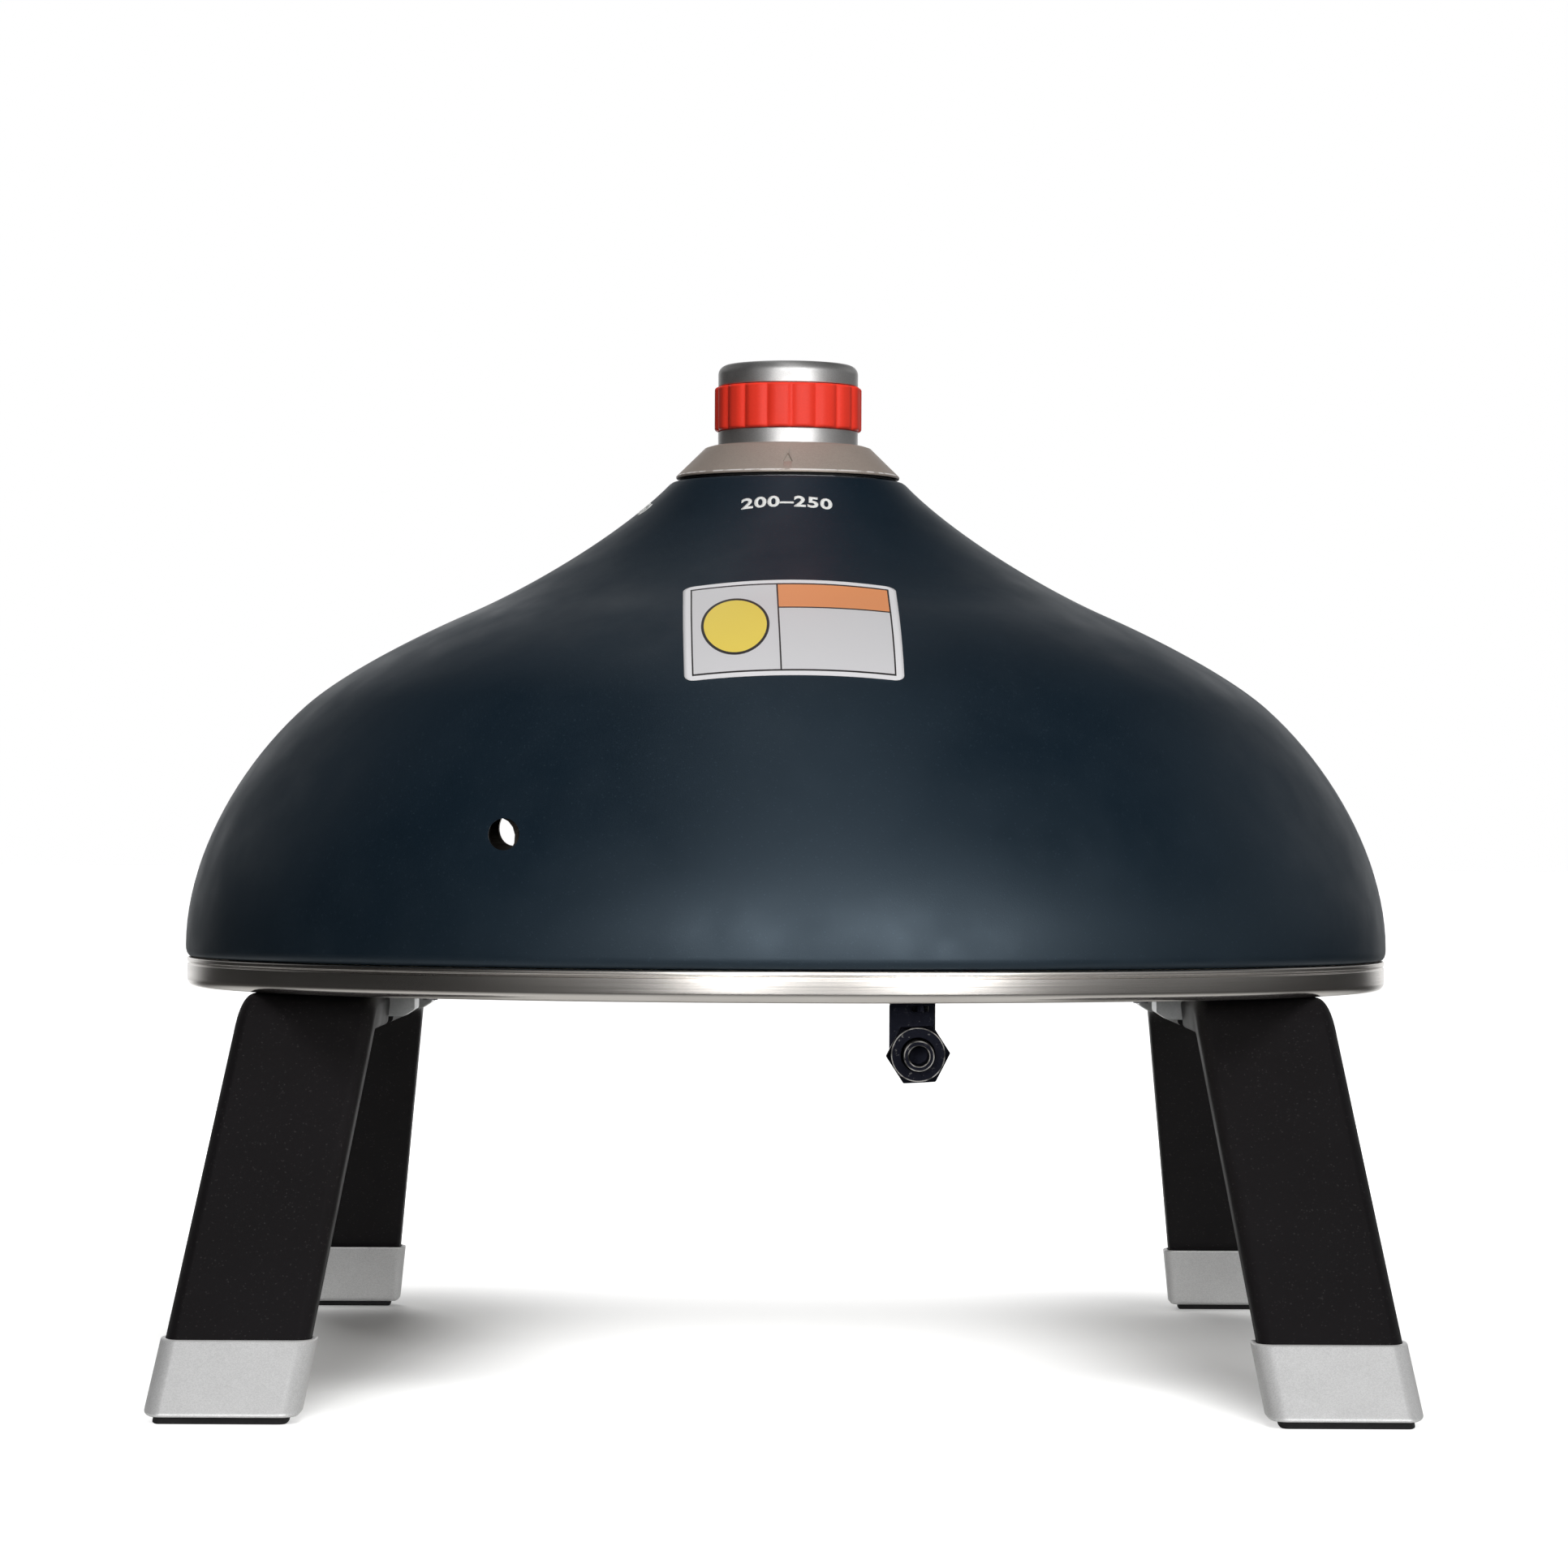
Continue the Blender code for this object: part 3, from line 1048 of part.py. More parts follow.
def hinge_rod(side, y, grow):
    """Return a hinge pin, or with some growth the bore round it."""
    hold = HINGE_BRACKET_LENGTH / 2 + RUNNING_GAP + PIN_BITE + grow
    start = (side * HINGE_X, y - hold, HINGE_Z)
    stop = (side * HINGE_X, y + hold, HINGE_Z)
    return rod(start, stop, PIN_RADIUS + grow, SMALL_SIDES)


def build_hinge_bracket(side, y, name):
    """Make a bracket that holds the hinge pin under the base, and its screw."""
    top = LEG_TOP - HINGE_Z
    ledge = top - FLANGE_THICKNESS
    outline = [(LUG_RADIUS, top), (-FLANGE_REACH, top), (-FLANGE_REACH, ledge), (-LUG_REACH, ledge)]
    outline += [(-LUG_REACH, LUG_CORNER - LUG_RADIUS), (LUG_CORNER - LUG_REACH, -LUG_RADIUS)]
    outline += arc((0, 0), LUG_RADIUS, -90, 0, CORNER_STEPS * 2)
    outline = [(side * x, z) for x, z in outline]
    place = Matrix.Translation((side * HINGE_X, y, HINGE_Z)) @ Matrix.Rotation(math.pi / 2, 4, "X")
    bracket = part(f"hinge_bracket_{name}", prism([outline], HINGE_BRACKET_LENGTH, place), "silver_paint")
    boolean(bracket, hinge_rod(side, y, GAP))
    x = side * (HINGE_X - BASE_SCREW_PLACE)
    boolean(bracket, upright(x, y, HINGE_Z, BASE_CLEARANCE + OVERRUN, BASE_SCREW_RADIUS + GAP, HOLE_SIDES))
    base_screw(f"bracket_screw_{name}", x, y, LEG_TOP - FLANGE_THICKNESS - GAP)


def main():
    """Build the whole oven."""
    clear_scene()
    make_finishes()
    dial_axis = joint_empty("dial_axis", (0, 0, COLLAR_TOP))
    build_base_pan()
    build_hearth()
    build_dome()
    build_crown()
    build_dial(dial_axis)
    build_valve(dial_axis)
    build_igniter()
    build_burner()
    build_gas_inlet()
    for side, name in ((-1, "left"), (1, "right")):
        hinge_axis = joint_empty(f"{name}_hinge_axis", (side * HINGE_X, 0, HINGE_Z))
        build_leg_frame(side, name, hinge_axis)


main()
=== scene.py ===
"""The portable pizza oven, dressed for a studio picture.

Lengths are in metres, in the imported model's frame: the floor is z = 0, the dome's axis is the Z axis, the
mouth faces +Y, and the camera looks at the back of the oven from -Y. A profile is a list of (radius, height)
points. An outline is a list of points in a flat plane.
"""

import json
import math

import bmesh
import bpy
import numpy as np
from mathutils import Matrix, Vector


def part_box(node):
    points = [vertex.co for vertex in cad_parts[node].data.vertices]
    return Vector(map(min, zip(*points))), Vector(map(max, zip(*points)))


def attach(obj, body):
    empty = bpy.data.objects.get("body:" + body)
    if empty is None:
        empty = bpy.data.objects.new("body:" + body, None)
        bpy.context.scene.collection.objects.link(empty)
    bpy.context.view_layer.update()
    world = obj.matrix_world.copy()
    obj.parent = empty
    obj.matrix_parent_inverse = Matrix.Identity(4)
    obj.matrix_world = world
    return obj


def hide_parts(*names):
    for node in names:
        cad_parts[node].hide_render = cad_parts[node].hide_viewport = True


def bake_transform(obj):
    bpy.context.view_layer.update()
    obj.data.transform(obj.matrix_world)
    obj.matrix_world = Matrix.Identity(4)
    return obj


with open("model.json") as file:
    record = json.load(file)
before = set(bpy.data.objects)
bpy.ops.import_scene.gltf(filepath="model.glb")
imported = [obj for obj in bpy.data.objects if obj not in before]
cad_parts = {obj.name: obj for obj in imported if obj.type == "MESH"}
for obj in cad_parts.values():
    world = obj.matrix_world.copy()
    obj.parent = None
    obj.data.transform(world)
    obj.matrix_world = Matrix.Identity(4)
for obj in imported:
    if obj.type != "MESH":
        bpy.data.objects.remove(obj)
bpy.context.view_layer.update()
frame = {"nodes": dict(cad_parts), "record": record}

# Dome
DOME_BOTTOM = 0.1888
DOME_TOP = 0.4114
DOME_RADIUS = 0.280
DOME_WALL = 0.002
NECK = (0.0512, DOME_TOP)
DOME_KNOTS = (
    (0.0555, 0.4100), (0.0780, 0.3868), (0.1213, 0.3608),
    (0.1507, 0.3480), (0.1723, 0.3385), (0.2072, 0.3209),
    (0.2248, 0.3052), (0.2559, 0.2774), (0.2800, 0.2337), (0.2800, 0.1940),
)
DOME_TUCK = ((0.2799, 0.1921), (0.2794, 0.1904), (0.2785, 0.1892), (0.2770, DOME_BOTTOM))
ROUND_STEPS = 288
LINER_OFFSET = 0.020
LINER_WALL = 0.0015
LINER_CROWN = 0.3628
LINER_FLAT = 0.055
LINER_SHOULDER = 0.150
LINER_HOLE = 0.0113
HEARTH_TOP = 0.1914
SEAT_GAP = 0.0003

# Base pan and stone
PAN_RADIUS = 0.2793
PAN_FLOOR = 0.1765
PAN_BOTTOM = 0.1750
STONE_RADIUS = 0.160
STONE_TOP = 0.2037
STONE_BOTTOM = 0.1917

# Mouth
MOUTH_HALF = 0.165
MOUTH_SPRING = 0.2497
MOUTH_RISE = 0.050
MOUTH_CUT = 0.0033

# Sight hole: where its axis starts outside the dome and ends inside
SIGHT_START = (-0.126, -0.275, 0.2405)
SIGHT_END = (-0.086, -0.020, 0.2735)
SIGHT_RADIUS = 0.0075
SIGHT_PUNCH = (-0.1199, 0.2452, 0.0068)

# Crown
COLLAR_BOTTOM = 0.4129
COLLAR_TOP = 0.4281
COLLAR_BORE = 0.0334
COLLAR_FOOT = 0.0524
DIAL_RADIUS = 0.0328
DIAL_TOP = 0.4670
DIAL_SKIRT = 0.4240
DIAL_BORE = 0.0283
HUB_RADIUS = 0.0075
HUB_BORE = 0.0043
HUB_BOTTOM = 0.4146
GROOVE_RADIUS = 0.0308
GRIP_RADIUS = 0.0345
GRIP_TOP = 0.4559
GRIP_BOTTOM = 0.4352
FLUTES = 18
FLUTE_ROOT = 0.0320
FLUTE_DEPTH = 0.0016
FLUTE_PHASE = math.radians(2.8)

# Leg frames
LEG_TOP = 0.1747
LEG_INNER_X = 0.1765
LEG_WIDTH = 0.0615
LEG_THICKNESS = 0.016
LEG_LEAN = 0.156
LEG_SWELL = 0.003
LEG_SPLAY = math.radians(38.2)
LEG_FOOT_Y = 0.285
LEG_BEND = 0.014
OUTER_CORNER = 0.006
SIDE_CORNER = (0.0062, 0.0130)
INNER_CORNER = 0.002
LEAST_CORNER = 0.0006
LEG_END = 0.0119
CAP_WALL = 0.00225
CAP_BOTTOM = 0.0029
CAP_TOP = 0.0329
PAD_TOP = 0.0026
HINGE_X = 0.183436
HINGE_Z = 0.1677
BRACKET_Y = 0.060
BRACKET_HALF = 0.015
LUG_RADIUS = 0.0052
PIN_BORE = 0.0028

# Sheets on the dome: a middle is (radius of its ring, azimuth)
STICKER_HALF = (0.0477, 0.0485)
STICKER_CORNER = 0.0045
STICKER_MIDDLE = (0.1716, math.radians(0.7))
STICKER_TURN = math.radians(0.8)
NUMBER_SIZE = 0.0112
NUMBER_RING = 0.0686
NUMBER_EDGE = 0.0016

# Camera
CAMERA_PLACE = (0.0, -2.4777, 0.2395)
CAMERA_SHIFT = (-0.0014, 0.0414)
CAMERA_ROLL = math.radians(-0.25)
FOCAL_PIXELS = 6500
PHOTO_PIXELS = 1932
SENSOR = 36.0

# Studio: a card is (azimuth and width in degrees, sine of the height of its lower and upper end, strength)
CARDS = (
    (-9.5, 7.0, -0.3, 0.10, 7.0), (28.0, 9.0, -0.3, 0.10, 7.5), (14.0, 36.0, 0.03, 0.12, 2.6),
    (-42.0, 14.0, -0.3, 0.10, 0.15), (84.0, 28.0, -0.3, 0.08, 0.26), (128.0, 16.0, 0.10, 0.45, 0.35),
    (-132.0, 14.0, 0.16, 0.45, 0.26),
)
STRIP_LEVEL = 0.95
STRIP_TURN = math.radians(6.0)
ROOM_LEVEL = 0.010
FLOOR_DARK = (0.03, 0.028, 0.026)
FLOOR_PALE = (0.76, 0.76, 0.75)
# Painted shadow: how much of the camera's added white is taken out beside the legs (left side, right side)
# and under the middle
PAINTED_SHADOW_BESIDE = (0.90, 0.80)
PAINTED_SHADOW_MIDDLE = 0.36
NOISE_RANGE = (0.3, 0.7)

# Gas inlet
INLET_X = 0.0570
INLET_Z = 0.1514
INLET_PLATE = -0.2065
NUT_BACK = -0.2148
NUT_FLATS = 0.024
ELBOW_Y = -0.1900
TAIL_END = -0.2320
TAIL_RADIUS = 0.0066
TAIL_HOLE = 0.0069
THREAD_PITCH = 0.0013
THREAD_DEPTH = 0.0005
SCREW_HOLE = 0.0023
# Radii and half width of the near-white rings painted as highlights on the inlet's turned edges
HIGHLIGHT_RADII = (0.0046, 0.0063, 0.0114)
HIGHLIGHT_HALF_WIDTH = 0.00022


def srgb(red, green, blue):
    """A colour from its 0 to 255 screen values."""
    scaled = np.array((red, green, blue)) / 255
    linear = np.where(scaled > 0.04045, ((scaled + 0.055) / 1.055) ** 2.4, scaled / 12.92)
    return tuple(float(channel) for channel in linear)


class Nodes:
    """Short calls that add nodes to a node tree."""

    def __init__(self, tree):
        self.tree = tree

    def add(self, kind, values=None, **settings):
        """Add a node, set its properties and fill or link its inputs."""
        node = self.tree.nodes.new("ShaderNode" + kind)
        for setting, value in settings.items():
            setattr(node, setting, value)
        for key, value in (values or {}).items():
            self.put(node.inputs[key], value)
        return node

    def put(self, socket, value):
        """Link a socket to another one, or give it a constant."""
        if isinstance(value, bpy.types.NodeSocket):
            self.tree.links.new(value, socket)
        else:
            socket.default_value = value

    def split(self, vector):
        """The x, y and z of a vector."""
        return self.add("SeparateXYZ", {"Vector": vector}).outputs

    def remap(self, value, low, high, to_low=0.0, to_high=1.0, **settings):
        """Stretch a value from one range to another, and hold it there."""
        values = {"Value": value, "From Min": low, "From Max": high, "To Min": to_low, "To Max": to_high}
        return self.add("MapRange", values, **settings).outputs[0]

    def ease(self, value, low, high, to_low=0.0, to_high=1.0):
        """As remap, with a soft start and end."""
        return self.remap(value, low, high, to_low, to_high, interpolation_type="SMOOTHSTEP")

    def math(self, operation, first, second=0.0):
        """Work out a sum, product, comparison and so on."""
        return self.add("Math", {0: first, 1: second}, operation=operation).outputs[0]

    def times(self, first, second):
        """Multiply two values."""
        return self.math("MULTIPLY", first, second)

    def plus(self, first, second):
        """Add two values."""
        return self.math("ADD", first, second)

    def minus(self, first, second):
        """Take the second value from the first."""
        return self.math("SUBTRACT", first, second)

    def length(self, across, up):
        """The distance sqrt(across squared + up squared)."""
        return self.math("SQRT", self.plus(self.times(across, across), self.times(up, up)))

    def bell(self, value, centre, width, power=2.0):
        """Fall from one at the centre to nought as exp(-|(value - centre) / width| to a power)."""
        off = self.math("ABSOLUTE", self.math("DIVIDE", self.minus(value, centre), width))
        return self.math("EXPONENT", self.times(self.math("POWER", off, power), -1.0))


class Finish(Nodes):
    """A new material, and short calls for its shader and patterns."""

    def __init__(self, name, colour, roughness, metallic=0.0, **sockets):
        self.material = bpy.data.materials.new(name)
        self.material.use_nodes = True
        super().__init__(self.material.node_tree)
        self.shader = self.tree.nodes["Principled BSDF"]
        self.coordinates = self.add("TexCoord").outputs["Object"]
        self.set("Base Color", (*colour, 1.0))
        self.set("Roughness", roughness)
        self.set("Metallic", metallic)
        for socket, value in sockets.items():
            self.set(socket.replace("_", " "), value)

    def set(self, name, value):
        """Set or link an input of the shader."""
        self.put(self.shader.inputs[name], value)

    def noise(self, size, detail=2.0, roughness=0.5, stretch=(1, 1, 1)):
        """Noise whose features are about a size in metres, longer where stretch is larger."""
        scale = tuple(1 / (size * s) for s in stretch)
        vector = self.add("Mapping", {"Vector": self.coordinates, "Scale": scale}).outputs[0]
        values = {"Vector": vector, "Scale": 1.0, "Detail": detail, "Roughness": roughness}
        return self.add("TexNoise", values).outputs["Fac"]

    def cells(self, size, output="Color"):
        """Cells of about a size in metres, as one grey value each or as the distance to their middles."""
        found = self.add("TexVoronoi", {"Vector": self.coordinates, "Scale": 1 / size}).outputs[output]
        if output == "Distance":
            return found
        return self.add("SeparateColor", {"Color": found}).outputs[0]

    def spread(self, noise, to_low=0.0, to_high=1.0):
        """Stretch the range that most of a noise's values lie in to another."""
        return self.remap(noise, *NOISE_RANGE, to_low, to_high)

    def gloss(self, noise, low, high):
        """Let the roughness follow a noise."""
        self.set("Roughness", self.spread(noise, low, high))

    def mix(self, share, first, second):
        """Blend two colours."""
        node = self.add("Mix", data_type="RGBA")
        self.put(node.inputs[0], share)
        for place, colour in ((6, first), (7, second)):
            linked = isinstance(colour, bpy.types.NodeSocket)
            self.put(node.inputs[place], colour if linked else (*colour, 1.0))
        return node.outputs[2]

    def relief(self, *layers):
        """Raise the surface by layers of (height, depth in metres)."""
        normal = None
        for height, depth in layers:
            values = {"Height": height, "Distance": depth, "Strength": 1.0}
            if normal is not None:
                values["Normal"] = normal
            normal = self.add("Bump", values).outputs[0]
        self.set("Normal", normal)


def speckled_coat(name, dark, light, fleck, roughness, grain, **sockets):
    """Matte coat: soft patches between two shades, sparse light flecks, and a fine orange peel."""
    coat = Finish(name, dark, roughness, **sockets)
    patches = coat.remap(coat.noise(0.09, 3.0, 0.6), 0.35, 0.65)
    fine = coat.spread(coat.noise(grain, 2.0, 0.6))
    blended = coat.plus(coat.times(patches, 0.45), coat.times(fine, 0.55))
    flecks = coat.remap(coat.cells(grain * 1.4), 0.965, 1.0, 0.0, 0.5)
    coat.set("Base Color", coat.mix(flecks, coat.mix(blended, dark, light), fleck))
    coat.gloss(coat.noise(0.03, 3.0), roughness - 0.05, roughness + 0.06)
    coat.relief((coat.noise(grain * 1.6, 3.0, 0.6), grain * 0.09), (coat.noise(0.006, 2.0), 0.00002))
    return coat.material


def flake_paint(name, dark, light, roughness, flake, metallic=0.85, highlight_line=None):
    """Metallic paint: flakes of their own brightness under a slightly uneven clear coat.

    The optional last argument is the (height, half width) of a near-white line painted there as a highlight,
    broken up by noise.
    """
    paint = Finish(name, light, roughness, metallic)
    flakes = paint.remap(paint.cells(flake), 0.0, 1.0)
    cloud = paint.spread(paint.noise(0.02, 3.0))
    share = paint.plus(paint.times(flakes, 0.75), paint.times(cloud, 0.25))
    colour = paint.mix(share, dark, light)
    if highlight_line:
        # Painted highlight: a near-white line at that height, broken up by noise
        away = paint.math("ABSOLUTE", paint.minus(paint.split(paint.coordinates)["Z"], highlight_line[0]))
        line = paint.remap(away, highlight_line[1] * 0.6, highlight_line[1], 1.0, 0.0)
        line = paint.times(line, paint.remap(paint.noise(0.005, 3.0), 0.38, 0.5, 0.15, 1.0))
        colour = paint.mix(line, colour, srgb(244, 240, 236))
    paint.set("Base Color", colour)
    paint.gloss(paint.noise(0.008, 2.0), roughness - 0.05, roughness + 0.05)
    paint.relief((flakes, flake * 0.02), (paint.noise(0.004, 2.0), 0.00001))
    return paint.material


def brushed_metal(name, dark, light, roughness, line, stretch, depth=0.000002):
    """Brushed metal: long fine lines vary its shade, gloss and height, with a broad cloudiness."""
    metal = Finish(name, light, roughness, 1.0)
    lines = metal.noise(line, 3.0, 0.7, stretch)
    cloud = metal.spread(metal.noise(0.05, 2.0))
    share = metal.plus(metal.times(lines, 0.6), metal.times(cloud, 0.4))
    metal.set("Base Color", metal.mix(metal.remap(share, 0.25, 0.75), dark, light))
    metal.gloss(lines, roughness - 0.03, roughness + 0.05)
    metal.relief((lines, depth))
    return metal.material


def plain_metal(name, dark, light, roughness, grain=0.0008, depth=0.00001, metallic=1.0):
    """Cast, drawn or plated metal: cloudy shade and gloss over a fine grain."""
    metal = Finish(name, light, roughness, metallic)
    cloud = metal.spread(metal.noise(0.012, 3.0, 0.6))
    grit = metal.noise(grain, 2.0, 0.6)
    metal.set("Base Color", metal.mix(metal.times(metal.plus(cloud, grit), 0.5), dark, light))
    metal.set("Roughness", metal.remap(cloud, 0.0, 1.0, roughness - 0.06, roughness + 0.08))
    metal.relief((grit, depth))
    return metal.material


def moulded(name, dark, light, roughness, grain=0.0006, depth=0.00002, **sockets):
    """Moulded plastic or rubber: an even shade with a fine tooth."""
    plastic = Finish(name, light, roughness, **sockets)
    tooth = plastic.noise(grain, 2.0, 0.6)
    cloud = plastic.noise(0.015, 3.0)
    share = plastic.remap(plastic.plus(tooth, cloud), 0.7, 1.3)
    plastic.set("Base Color", plastic.mix(share, dark, light))
    plastic.gloss(cloud, roughness - 0.05, roughness + 0.05)
    plastic.relief((tooth, depth))
    return plastic.material


def fired_stone():
    """Cordierite: a sandy body with dark and pale grains, small pits and a toasted middle."""
    stone = Finish("cordierite", srgb(196, 170, 132), 0.9)
    grains = stone.cells(0.0016)
    sand = stone.spread(stone.noise(0.02, 4.0, 0.6))
    body = stone.mix(sand, srgb(188, 160, 122), srgb(210, 188, 152))
    dark = stone.mix(stone.remap(grains, 0.0, 0.14, 0.8, 0.0), body, srgb(112, 84, 58))
    pale = stone.mix(stone.remap(grains, 0.9, 1.0, 0.0, 0.7), dark, srgb(236, 224, 200))
    toast = stone.remap(stone.noise(0.07, 4.0, 0.65), 0.52, 0.75, 0.0, 0.55)
    stone.set("Base Color", stone.mix(toast, pale, srgb(120, 86, 56)))
    stone.relief((stone.noise(0.0012, 4.0, 0.7), 0.00012), (stone.cells(0.004, "Distance"), 0.0001))
    return stone.material


def heat_stained_steel():
    """Liner steel: grey, with straw and bronze stains from the flame."""
    steel = Finish("liner_steel", srgb(150, 146, 140), 0.42, 1.0)
    lines = steel.noise(0.0006, 3.0, 0.7, (30, 30, 1))
    stain = steel.remap(steel.noise(0.06, 4.0, 0.6), 0.4, 0.7)
    bare = steel.mix(steel.spread(lines), srgb(128, 124, 120), srgb(170, 166, 160))
    steel.set("Base Color", steel.mix(steel.times(stain, 0.6), bare, srgb(138, 108, 72)))
    steel.gloss(lines, 0.34, 0.5)
    steel.relief((lines, 0.00001), (steel.noise(0.03, 2.0), 0.0003))
    return steel.material


def fibre(name, dark, light, strand, depth):
    """Fibrous blanket or board."""
    wool = Finish(name, light, 0.95)
    strands = wool.noise(strand, 5.0, 0.75, (1, 3, 1))
    wool.set("Base Color", wool.mix(wool.spread(strands), dark, light))
    wool.relief((strands, depth))
    return wool.material


def black_wear_and_highlights():
    """Blackened steel: nearly black and rubbed here and there, with near-white rings painted as highlights
    on the turned edges of the gas inlet.

    A ring is painted where the distance from the inlet's axis is within half a line's width of its radius.
    """
    metal = Finish("black_metal", srgb(22, 23, 30), 0.34, 1.0)
    places = metal.split(metal.coordinates)
    away = metal.length(metal.minus(places["X"], INLET_X), metal.minus(places["Z"], INLET_Z))
    bare = metal.remap(metal.noise(0.0022, 5.0, 0.75), 0.62, 0.78, 0.0, 0.5)
    ring_breakup = metal.remap(metal.noise(0.005, 2.0), 0.35, 0.5, 0.15, 1.0)
    # Painted highlights: near-white rings on the turned edges, broken up by noise
    for radius in HIGHLIGHT_RADII:
        near = metal.math("COMPARE", away, radius)
        near.node.inputs[2].default_value = HIGHLIGHT_HALF_WIDTH
        bare = metal.math("MAXIMUM", bare, metal.times(near, ring_breakup))
    # The random rubs are wear; the rings joined to them are painted highlights
    metal.set("Base Color", metal.mix(bare, srgb(22, 23, 30), srgb(196, 194, 190)))
    metal.set("Metallic", metal.minus(1.0, bare))
    metal.gloss(metal.noise(0.003, 3.0), 0.24, 0.42)
    metal.relief((metal.noise(0.0007, 3.0, 0.6), 0.00002))
    return metal.material


def sticker_vinyl(half_wide, half_high):
    """Printed vinyl: pale ground, thin black rules, a blank orange panel and a plain yellow oval."""
    vinyl = Finish("sticker_vinyl", srgb(222, 220, 222), 0.38, Coat_Weight=0.25, Coat_Roughness=0.2)
    places = vinyl.split(vinyl.add("UVMap", uv_map="flat").outputs[0])
    across = vinyl.times(vinyl.minus(places[0], 0.5), 2 * half_wide)
    along = vinyl.times(vinyl.minus(places[1], 0.5), 2 * half_high)

    def panel(x0, x1, y0, y1):
        """One inside a rectangle and nought outside."""
        near = vinyl.math("ABSOLUTE", vinyl.minus(across, (x0 + x1) / 2))
        high = vinyl.math("ABSOLUTE", vinyl.minus(along, (y0 + y1) / 2))
        inside = vinyl.math("LESS_THAN", near, (x1 - x0) / 2)
        return vinyl.times(inside, vinyl.math("LESS_THAN", high, (y1 - y0) / 2))

    edge, rule, thick = 0.0034, 0.0007, 0.0014
    left, right, low, high = -half_wide + edge, half_wide - edge, -half_high + edge, half_high - edge
    split = left + (right - left) * 0.44
    band = high - (high - low) * 0.30
    ink, orange, yellow = srgb(30, 26, 28), srgb(226, 148, 98), srgb(232, 206, 84)
    colour = vinyl.mix(panel(left, right, low, high), srgb(224, 223, 225), srgb(208, 207, 209))
    colour = vinyl.mix(panel(split, right, band, high), colour, orange)
    dx = vinyl.minus(across, (left + split) / 2)
    dy = vinyl.times(vinyl.minus(along, (low + high) / 2), 0.5)
    away = vinyl.length(dx, dy)
    for radius, paint in ((0.0150, ink), (0.0138, yellow)):
        colour = vinyl.mix(vinyl.math("LESS_THAN", away, radius), colour, paint)
    rules = (
        (left, right, high - thick, high), (left, right, low, low + thick), (left, left + rule, low, high),
        (right - rule, right, low, high), (split - rule, split, low, high),
        (split, right, band - thick, band),
    )
    for rectangle in rules:
        colour = vinyl.mix(panel(*rectangle), colour, ink)
    vinyl.set("Base Color", colour)
    vinyl.relief((vinyl.noise(0.003, 2.0), 0.00001))
    return vinyl.material


def full_turn(count):
    """Even angles all round."""
    return np.arange(count) * math.tau / count


def placed(name, data):
    """A new object at the origin."""
    thing = bpy.data.objects.new(name, data)
    bpy.context.scene.collection.objects.link(thing)
    return thing


def thicken(sheet, depth):
    """Give a sheet its thickness, under its face."""
    body = sheet.modifiers.new("thickness", "SOLIDIFY")
    body.thickness = depth
    body.offset = -1.0


def grid_mesh(name, grid, index):
    """A mesh of a grid's points, with a quad between each four neighbours in a table of point numbers."""
    quads = np.stack((index[:-1, :-1], index[:-1, 1:], index[1:, 1:], index[1:, :-1]), axis=-1)
    mesh = bpy.data.meshes.new(name)
    mesh.from_pydata(grid.reshape(-1, 3), [], quads.reshape(-1, 4))
    return mesh


def surface(name, grid, around=True, along=False, sharp=35):
    """A mesh through a grid of points.

    grid has rows, columns and x, y, z. around joins the last column to the first and along joins the last
    row to the first. Points that coincide are merged, open ends are filled, and the faces turn outwards.
    """
    index = np.arange(grid[..., 0].size).reshape(grid.shape[:2])
    if around:
        index = np.hstack((index, index[:, :1]))
    if along:
        index = np.vstack((index, index[:1]))
    return settle(name, grid_mesh(name, grid, index), sharp)


def settle(name, mesh, sharp=35):
    """Merge a mesh's doubles, close it, turn its faces outwards and shade it, in an object at the origin."""
    form = bmesh.new()
    form.from_mesh(mesh)
    bmesh.ops.remove_doubles(form, verts=form.verts, dist=1e-6)
    bmesh.ops.dissolve_degenerate(form, edges=form.edges, dist=1e-7)
    bmesh.ops.holes_fill(form, edges=[edge for edge in form.edges if edge.is_boundary])
    bmesh.ops.recalc_face_normals(form, faces=form.faces)
    form.to_mesh(mesh)
    form.free()
    mesh.shade_smooth()
    mesh.set_sharp_from_angle(angle=math.radians(sharp))
    piece = placed(name, mesh)
    weighted = piece.modifiers.new("even_shading", "WEIGHTED_NORMAL")
    weighted.keep_sharp = True
    return piece


def turned(name, profile, steps=ROUND_STEPS, closed=True, sharp=35):
    """A profile turned about Z: x = r sin(a), y = -r cos(a) for angles a all round."""
    profile = np.asarray(profile, float)
    angle = full_turn(steps)
    x = profile[:, :1] * np.sin(angle)
    y = -profile[:, :1] * np.cos(angle)
    z = np.repeat(profile[:, 1:], steps, axis=1)
    return surface(name, np.stack((x, y, z), axis=-1), along=closed, sharp=sharp)


